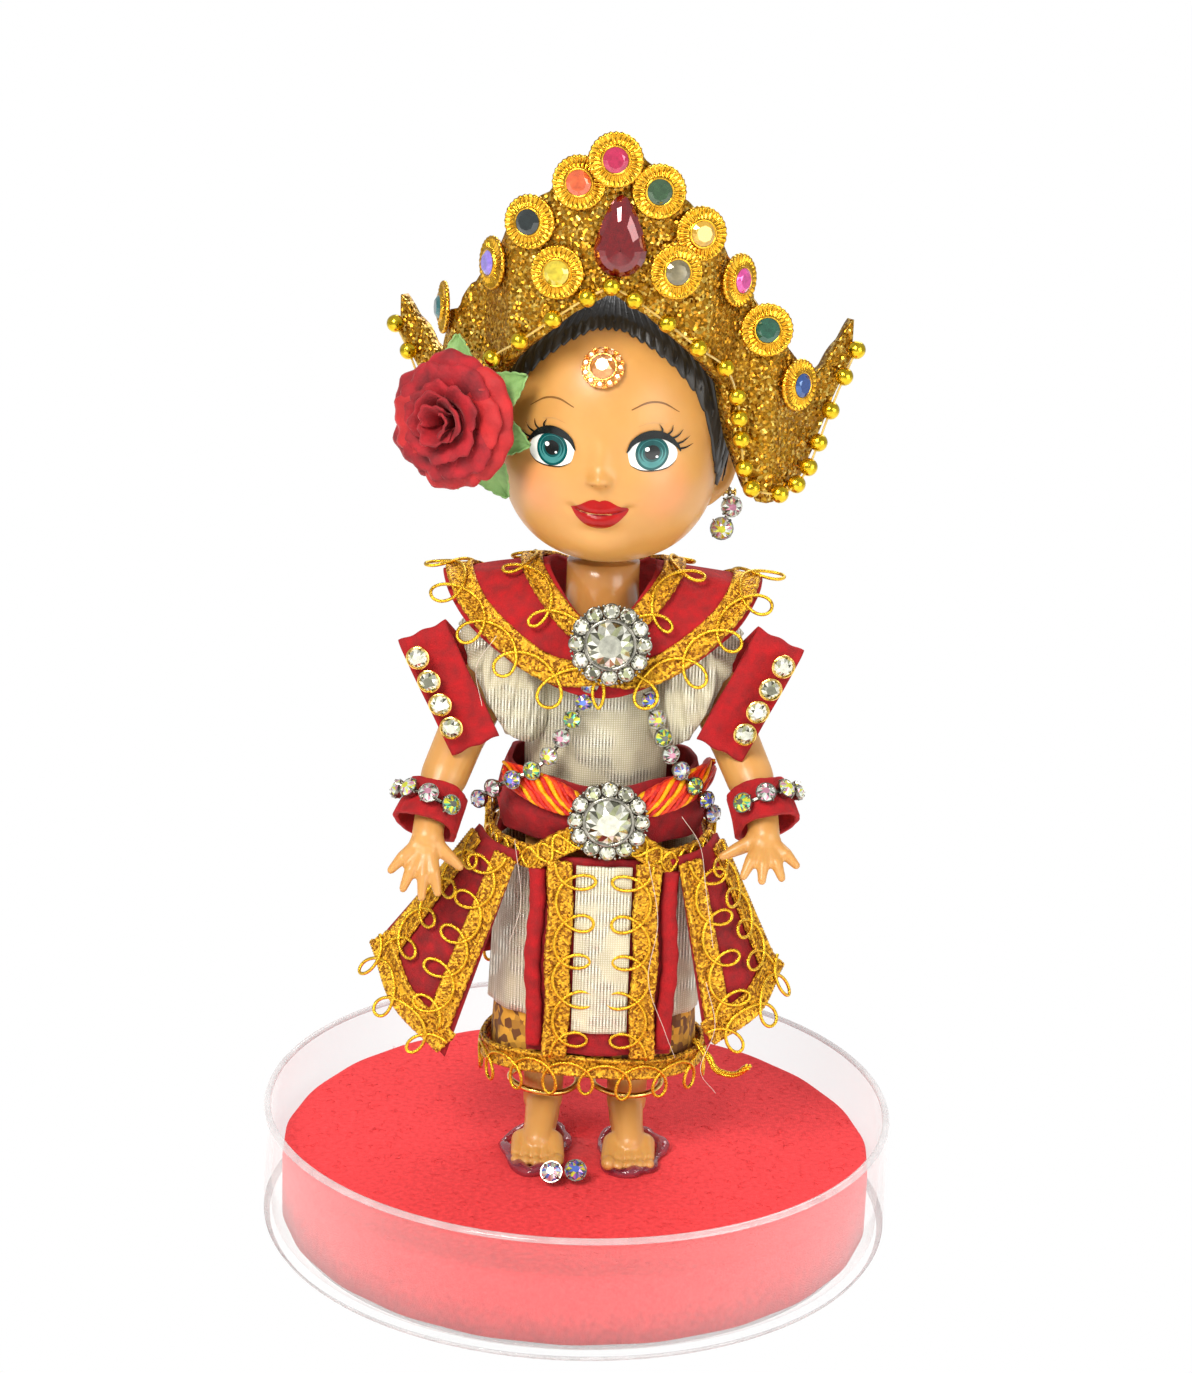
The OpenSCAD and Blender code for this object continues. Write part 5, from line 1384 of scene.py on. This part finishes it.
    # Cuff and its cup chain
    W = unit(v3(side * 2.0, -4.2, -5.0))
    at = P[5]
    ux = unit(np.cross(W, v3(0, 0, 1)))
    uy = np.cross(W, ux)
    g = []
    for s in np.linspace(-2.4, 2.8, 22):
        t = (s + 2.4) / 5.2
        row = []
        for i in range(110):
            an = TAU * i / 110
            r = 3.2 + 0.45 * t + 0.08 * math.sin(5 * an + 4 * t) + 0.05 * math.sin(14 * an)
            row.append(at + W * (s + 0.15 * math.sin(3 * an)) + (ux * math.cos(an) + uy * math.sin(an)) * r)
        g.append(row)
    o = Bag().add(*slab(np.array(g), RIBBON_T, 1, True)).object(nm + "_cuff_velvet", VELVET_BRIGHT, body,
                                                           "red_velvet", nm + "_cuff")
    cc = Bag()
    front = unit(v3(0, -1, 0.25) - W * np.dot(v3(0, -1, 0.25), W))
    lat = np.cross(W, front)
    arc = []
    for k, an in enumerate(np.radians([-78, -44, -10, 26]) if side < 0 else np.radians([78, 44, 10, -26])):
        d = front * math.cos(an) + lat * math.sin(an) * -1
        q = at + W * (-0.3 + 0.25 * k) + d * 4.3
        arc.append(q)
        cup(cc, q, d, 1.3, 1 + [2, 2, 4, 1][k], 4)
    cc.add(*tube(spline(arc, 40), 0.32, 6), 0)
    cc.object(nm + "_cuff_chain", [SILVER] + AB, body, "grey_cup_stone", nm + "_cuff_stones", smooth=False)

# ---- Legs, feet and what holds them ----

for side, nm in SIDES:
    x0 = DX + side * 5.7
    b = Bag()
    path = [(x0, 0, SOLE + 5.5, 2.7), (x0, 0.2, SOLE + 9.5, 2.75), (x0 + side * 0.1, 0.6, SOLE + 14, 3.4),
            (DX + side * 5.9, 0.6, SOLE + 20, 4.0),
            (DX + side * 6.2, 0, SOLE + 27, 4.1), (DX + side * 6.6, 0, SOLE + 36, 2.7),
            (DX + side * 6.9, 0, SOLE + 40, 2.3)]
    for p, q in zip(path, path[1:]):
        b.add(*capsule(p[:3], p[3], q[:3], q[3], 22))
    b.add(*capsule((x0, 0.9, SOLE + 2.2), 2.25, (x0, 0.2, SOLE + 6), 2.6, 18))
    b.add(*capsule((x0, 0.6, SOLE + 2.4), 2.2, (x0 + side * 0.5, -5.6, SOLE + 2.1), 2.2, 18))
    b.add(*capsule((x0, -1.0, SOLE + 5.2), 2.3, (x0 + side * 0.5, -6.4, SOLE + 2.0), 1.9, 18))
    for k in range(5):
        u = (k - 2) / 2
        tx = x0 + side * 0.5 - side * u * 2.75
        big = k == 4
        r = 1.0 if big else 0.7
        ty = -9.5 - (0.9 if big else 0.25 + 0.25 * k)
        b.add(*capsule((x0 + side * 0.5 - side * u * 2.0, -5.6, SOLE + 1.5), 1.6, (tx, ty + 1.3, SOLE + 1.0),
                       r * 1.05, 12))
        b.add(*ball((tx, ty, SOLE + r * 0.98), (r, r * 1.4, r * 0.95), 14))
    b.add(*tube(np.array([(DX + side * 2.2, 0, HIP), (DX + side * 9.0, 0, HIP)]), [4.0, 4.9], 36))
    fused(b, nm + "_leg_skin", SKIN, "stand", "skin_vinyl", nm + "_leg", 0.2, 2)
    t = circle(90)
    r = 4.6 + 0.12 * np.sin(3 * t)
    ring_p = np.stack([x0 + r * np.cos(t), r * np.sin(t) * 0.95,
                       SOLE + 8.1 + side * 0.18 * np.cos(t) + 0.15 * np.sin(2 * t)], 1)
    Bag().add(*tube(ring_p, 0.42, 10, True)).object(nm + "_ankle_ring", WIRE, "stand", "gold_wire",
                                                    nm + "_anklet")

FLOOR = 10.0
GLUE = material("hot_glue", (0.16, 0.012, 0.03), (0.36, 0.06, 0.09), 0.08, 0.06, 500, bump=0.3,
                bump_scale=900,
                Coat_Weight=1.0, Coat_Roughness=0.05)
clear_film(GLUE, 0.5, 0.85)
b = Bag()
for side in (-1, 1):
    # A rope of glue squeezed round each foot, and the skin of glue under it
    n = 90
    t = circle(n)
    cx, cy = DX + side * 6.3, -4.6
    rx = 4.0 + 0.5 * np.sin(3 * t + side) + 0.3 * np.sin(7 * t)
    ry = 7.4 + 0.5 * np.sin(2 * t + 1 + side) + 0.3 * np.sin(6 * t)
    rope = oval((cx, cy), rx, ry, FLOOR + 0.6 + 0.2 * np.sin(4 * t), t)
    b.add(*tube(rope, 0.75 + 0.35 * np.sin(3 * t + 2) * np.sin(5 * t), 12, True, 0.9, (0, 0, 1)))
    rows = [np.stack([cx + rx * k * np.cos(t), cy + ry * k * np.sin(t), FLOOR + z + 0 * t], 1)
            for k, z in [(1.0, 0.05), (1.0, 0.55), (0.6, 0.75), (0.02, 0.75)]]
    b.add(*grid(np.array(rows), loop_u=True))
fused(b, "glue_puddles", GLUE, "stand", "hot_glue", "glue_pads", 0.3, 4)
b = Bag()
for i, (x, y) in enumerate([(-3.9, -14.1), (-0.9, -13.4)]):
    cup(b, v3(DX + x, y - 0.4, FLOOR + 1.5), v3(-0.15 + 0.2 * i, -0.75, 0.65), 1.45, 1 + i * 3, 4, 1.3)
    cup(b, v3(DX + x - 0.2, y + 1.2, FLOOR + 1.1), v3(-0.4, 0.3, 0.9), 1.0, 4, 4, 0.9)
b.object("toe_stones", [SILVER] + AB, "stand", "iridescent_crystal", "toe_crystals", smooth=False)

# ---- Rose, leaves and earring ----

ROSE_AT = HEAD + v3(-18.7, -9.7, 1.2)
ROSE_Z, ROSE_X = unit(v3(-0.42, -0.9, 0.05)), v3(0.9, -0.42, 0)
ROSE, ROSE_B = (material("rose_fabric" + kind, low, high, rough, 0.12, 420, bump=bump, bump_scale=2600,
                         Sheen_Weight=0.25, Sheen_Roughness=0.4, Sheen_Tint=(1, tint, tint, 1))
                for kind, low, high, rough, bump, tint in (
                    ("", (0.15, 0.001, 0.005), (0.42, 0.006, 0.014), 0.78, 0.45, 0.3),
                    ("_bright", (0.32, 0.004, 0.006), (0.50, 0.012, 0.014), 0.7, 0.4, 0.4)))
LEAF = material("leaf_fabric", (0.10, 0.24, 0.05), (0.30, 0.50, 0.16), 0.6, 0.12, 260, bump=0.4,
                bump_scale=2400, Sheen_Weight=0.2)


def petal(bag, a0, r0, size, width, lean, curl, mat, base=0.0, seed=0):
    """One cupped petal: lean is how far it opens, curl how much its lip rolls back."""
    nu, nv = 22, 18
    pts = []
    for v in np.linspace(0, 1, nv):
        row = []
        th = lean * v + curl * max(0, v - 0.62) ** 1.3 * 3
        rr = r0 + size * (math.sin(lean * 0.5) * v + 0.5 * math.sin(th) * v)
        zz = base + size * v * (1 - 0.35 * th) - curl * max(0, v - 0.6) ** 2 * size * 0.9
        wid = width * math.sin(math.pi * min(1, 0.14 + 0.62 * v)) ** 0.7
        for u in np.linspace(-1, 1, nu):
            a = a0 + u * wid
            lip = 1 - 0.10 * abs(u) ** 3 * v
            wave = 0.22 * math.sin(5 * u + seed) * v * v + 0.14 * math.sin(11 * u + seed * 2) * v ** 3
            r = max(0.15, rr * lip - 0.5 * size * 0.12 * (1 - u * u) * (1 - v)) + wave
            row.append((r * math.cos(a), r * math.sin(a),
                        zz * lip + wave * 0.8 + 0.35 * u * u * v * (0 if lean > 0.9 else 1)))
        pts.append(row)
    bag.put(slab(np.array(pts), 0.28), ROSE_AT, ROSE_Z, mat, ROSE_X)


b = Bag()
for i in range(5):
    petal(b, i * 2.2, 0.5 + 0.22 * i, 6.6 - 0.1 * i, 1.5, 0.12 + 0.05 * i, 0.12, 0, 0.8, i)
for i in range(5):
    petal(b, 0.6 + i * TAU / 5 + 0.2 * math.sin(i), 1.7, 6.2, 0.95, 0.42, 0.35, 0, 0.5, i + 9)
for i in range(6):
    petal(b, 0.1 + i * TAU / 6, 2.5, 5.8, 0.82, 0.75, 0.55, 0 if i % 3 else 1, 0.2, i + 20)
for i in range(6):
    petal(b, 0.55 + i * TAU / 6, 2.7, 5.6, 0.80, 1.15, 0.7, 1 if i in (0, 4, 5) else 0, -0.1, i + 31)
b.put(revolve([(0, -1.0), (2.2, -0.6), (3.2, 0.2), (2.4, 1.6), (0, 2.0)], 30), ROSE_AT, ROSE_Z)
b.object("fabric_rose", [ROSE, ROSE_B], "head", "rose_fabric", "rose")
b = Bag()
for a0, ln, tilt in [(0.62, 8.6, 0.12), (1.75, 8.4, -0.1), (-1.0, 9.2, -0.15), (-0.25, 7.4, 0.05),
                     (-1.75, 7.0, -0.3)]:
    rows = []
    for v in np.linspace(0, 1, 26):
        wd = 2.3 * math.sin(math.pi * v ** 0.85) ** 0.9 + 0.05
        row = []
        for u in np.linspace(-1, 1, 17):
            saw = 0.10 * math.sin(v * 46) * abs(u) ** 3
            vein = -0.16 * math.exp(-(u / 0.12) ** 2) + 0.05 * math.cos((v * 9 - abs(u) * 1.6) * TAU)
            x, y = 3.4 + ln * v * 0.82, (wd + saw) * u
            z = -0.5 + tilt * x * 0.6 + 0.45 * u * u - 1.2 * v * v + vein
            row.append((x * math.cos(a0) - y * math.sin(a0), x * math.sin(a0) + y * math.cos(a0), z))
        rows.append(row)
    b.put(slab(np.array(rows), 0.22), ROSE_AT, ROSE_Z, 0, ROSE_X)
b.object("rose_foliage", LEAF, "head", "leaf_fabric", "rose_leaves")

EAR = HEAD + v3(14.15, 1.8, -8.8)
b = Bag().add(*tube(spline([EAR + v3(-0.9, 0, 0), EAR + v3(0.6, 0, 0.02), EAR + v3(1.85, 0, 0)], 20), 0.3,
                    12))
b.add(*ball(EAR + v3(0.45, 0, 0), (0.25, 0.62, 0.62), 16)).add(*ball(EAR + v3(1.95, 0, 0), (0.2, 0.55, 0.55),
                                                                     16))
b.object("earring_wire", WIRE, "head", "gold_wire", "earring_hook")
b = Bag()
t = circle(40)
b.add(*tube(np.stack([0 * t + EAR[0] + 1.25, EAR[1] + 0.6 * np.cos(t), EAR[2] + 0.6 * np.sin(t)], 1), 0.22, 8,
            True), 0)
b.add(*tube(np.array([EAR + v3(1.25, -0.1, -0.5), EAR + v3(1.35, -0.5, -2.4), EAR + v3(0.4, -0.9, -4.6)]),
            0.3, 8), 0)
cup(b, EAR + v3(1.35, -0.4, -1.7), v3(0.25, -1, 0.05), 1.4, 5, 4, 1.1)
cup(b, EAR + v3(0.4, -0.8, -4.5), v3(0.0, -1, 0.05), 1.5, 3, 4, 1.1)
b.object("earring_stones", [SILVER] + AB, "earring", "grey_cup_stone", "earring_drop", smooth=False)

# ---- Stand ----

# The clear dish is a white film that grows denser where it is looked along: a painted reflection of the white
# surroundings.
DISH = material("clear_plastic", (0.88, 0.89, 0.90), (0.97, 0.98, 0.98), 0.03, 0.015, 60, bump=0.01,
                bump_scale=200, IOR=1.45)
clear_film(DISH, 0.03, 0.34)
# Thin grey rings laid on the rim top, the foot and the ledge: painted shade lines where the thick plastic
# edge shows.
RIM_SHADE = material("clear_plastic_edge_shade", (0.55, 0.53, 0.54), (0.75, 0.74, 0.75), 0.05, 0.02, 300, bump=0.01)
clear_film(RIM_SHADE, 0.3, 0.6)
prof = [(0, 0.4), (30, 0.4), (37.4, 0.4), (38.2, 0.15), (38.8, 0), (41.6, 0), (42.2, 0.15), (42.45, 0.6),
        (42.5, 1.4), (42.5, 15.2),
        (42.42, 16.0), (42.2, 16.4), (41.95, 16.5), (41.65, 16.35), (41.52, 16.0), (41.5, 15.4), (41.5, 1.5),
        (41.2, 1.05), (40.6, 1.0), (0, 1.0)]
shade_rings = [[(42.5, 15.9), (42.42, 16.15), (42.2, 16.4), (41.95, 16.5), (41.65, 16.4), (41.5, 15.9)],
         [(41.7, 0.02), (42.2, 0.14), (42.46, 0.6), (42.5, 0.9), (42.4, 0.6), (42.1, 0.2)],
         [(38.3, 0.12), (38.8, 0.02), (39.3, 0.02), (38.8, 0.14)]]
dish = Bag().add(*revolve(prof, 160), 0)
for e in shade_rings:
    dish.add(*revolve([(r + 0.03, z + 0.03) for r, z in e + e[:1]], 160), 1)
dish.object("clear_dish", [DISH, RIM_SHADE], "stand", "clear_plastic", "base_dish")
FOAM = material("foam_board", (0.85, 0.83, 0.78), (0.95, 0.94, 0.9), 0.8, 0.1, 900, bump=0.5)
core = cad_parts["plinth_core"]
core.data.materials.clear()
core.data.materials.append(FOAM)
n = 200
a = circle(n)
rows = []
for r, z in [(39.25, 1.05), (40.0, 1.05), (40.0, 8.8), (39.9, 9.5), (39.5, 9.9), (38.8, 10.0), (30, 10.0),
             (20, 10.0), (10, 10.0), (0.05, 10.0),
             (0.05, 9.25), (30, 9.25), (39.25, 9.25)]:
    wob = 0.10 * np.sin(23 * a) * (r > 39.4)
    rows.append(oval((0, 0), r + wob, r + wob, z + 0.03 * np.sin(5 * a + r) * (z > 9.6), a))
o = Bag().add(*grid(np.array(rows), loop_u=True, loop_v=True)).object("felt_disc", FELT, "stand", "red_felt",
                                                                      "felt_cover")
b = Bag()
for i in range(900):
    r, t = 39.3 * math.sqrt(rnd.random()), rnd.uniform(0, TAU)
    x, y = r * math.cos(t), r * math.sin(t)
    d = rnd.uniform(0, TAU)
    ln = rnd.uniform(0.4, 1.3)
    q = [(x + ln * s * math.cos(d + s), y + ln * s * math.sin(d + s), 10.02 + 0.16 * math.sin(math.pi * s))
         for s in (0, 0.33, 0.66, 1)]
    b.add(*tube(q, 0.03, 3))
b.object("felt_fibres", FELT, "stand", "red_felt")

# ---- Loose threads ----

b = Bag()
for pts in [[(8, -16.2, 56), (9.5, -16.6, 48), (8.6, -16.4, 40), (11, -16.4, 33), (12.5, -15.5, 29)],
            [(-9, -15.6, 58), (-8, -16.2, 50), (-9.4, -16.0, 44)],
            [(12, -16, 62), (14.5, -15.5, 58), (15.5, -15.0, 52), (16.8, -14.8, 44)],
            [(-12, -13.5, 84), (-14.4, -14, 80), (-13.6, -14, 75)],
            [(16, -16.4, 40), (17.4, -16.8, 34), (15.8, -16.6, 28), (18, -15, 24)]]:
    b.add(*tube(spline(pts, 40), 0.035, 4))
b.object("loose_threads", STRAY, "torso", "gold_braid")

# ---- Camera and light ----

CAMERA_AT, CAMERA_DOWN, CAMERA_ROLL = (0.0006, -0.320, 0.1613), 15.22, 2.0
cam_data = bpy.data.cameras.new("camera")
cam = bpy.data.objects.new("camera", cam_data)
bpy.context.scene.collection.objects.link(cam)
cam_data.lens = 66.5
cam_data.sensor_width = 36
cam_data.sensor_fit = "AUTO"
cam.matrix_world = (Matrix.Translation(CAMERA_AT) @ Matrix.Rotation(math.radians(90 - CAMERA_DOWN), 4, "X")
                    @ Matrix.Rotation(math.radians(CAMERA_ROLL), 4, "Z"))
bpy.context.scene.camera = cam
bpy.context.scene.view_settings.view_transform = "Standard"

# A plain white floor, which shows as white as the air round it
floor = material("floor_white", (0.94, 0.94, 0.94), (0.98, 0.98, 0.98), 0.9, 0.05, 8)
s = Shader(floor)
s.into(s.tree.nodes["Material Output"].inputs[0],
       s.node("MixShader", 0, s.node("LightPath", "Is Camera Ray"),
              s.tree.nodes["Principled BSDF"].outputs[0], s.node("Emission", 0, Strength=1.0)))
ground = bpy.data.meshes.new("floor")
ground.from_pydata([(-3, -3, 0), (3, -3, 0), (3, 3, 0), (-3, 3, 0)], [], [(0, 1, 2, 3)])
ground.materials.append(floor)
ground = bpy.data.objects.new("floor", ground)
bpy.context.scene.collection.objects.link(ground)


def area(name, at, target, size, power, color=(1, 1, 1)):
    d = bpy.data.lights.new(name, "AREA")
    d.size, d.energy, d.color = size, power, color
    o = bpy.data.objects.new(name, d)
    o.location = at
    o.rotation_euler = (Vector(target) - Vector(at)).to_track_quat("-Z", "Y").to_euler()
    bpy.context.scene.collection.objects.link(o)
    return o


LOOK_AT = (0, 0, 0.08)
area("key", (-0.22, -0.42, 0.46), LOOK_AT, 0.22, 3.7, (1.0, 0.97, 0.92))
area("fill", (0.42, -0.40, 0.20), LOOK_AT, 0.30, 1.3, (1.0, 0.98, 0.95))
area("rim", (0.15, 0.40, 0.45), (0, 0, 0.10), 0.30, 1.6)

# White all round to the eye and through the clear dish, softer where it only lights the doll
WORLD_LIT, WORLD_SEEN = 0.55, 1.0
world = bpy.data.worlds.new("world")
bpy.context.scene.world = world
world.use_nodes = True
s = Shader(world)
seen = [s.node("LightPath", "Is %s Ray" % kind) for kind in ("Camera", "Transmission")]
s.into(world.node_tree.nodes["Background"].inputs[0], (1, 1, 1))
s.into(world.node_tree.nodes["Background"].inputs[1],
       s.node("MapRange", 0, Value=s.node("Math", 0, *seen, operation="MAXIMUM"), To_Min=WORLD_LIT,
              To_Max=WORLD_SEEN))
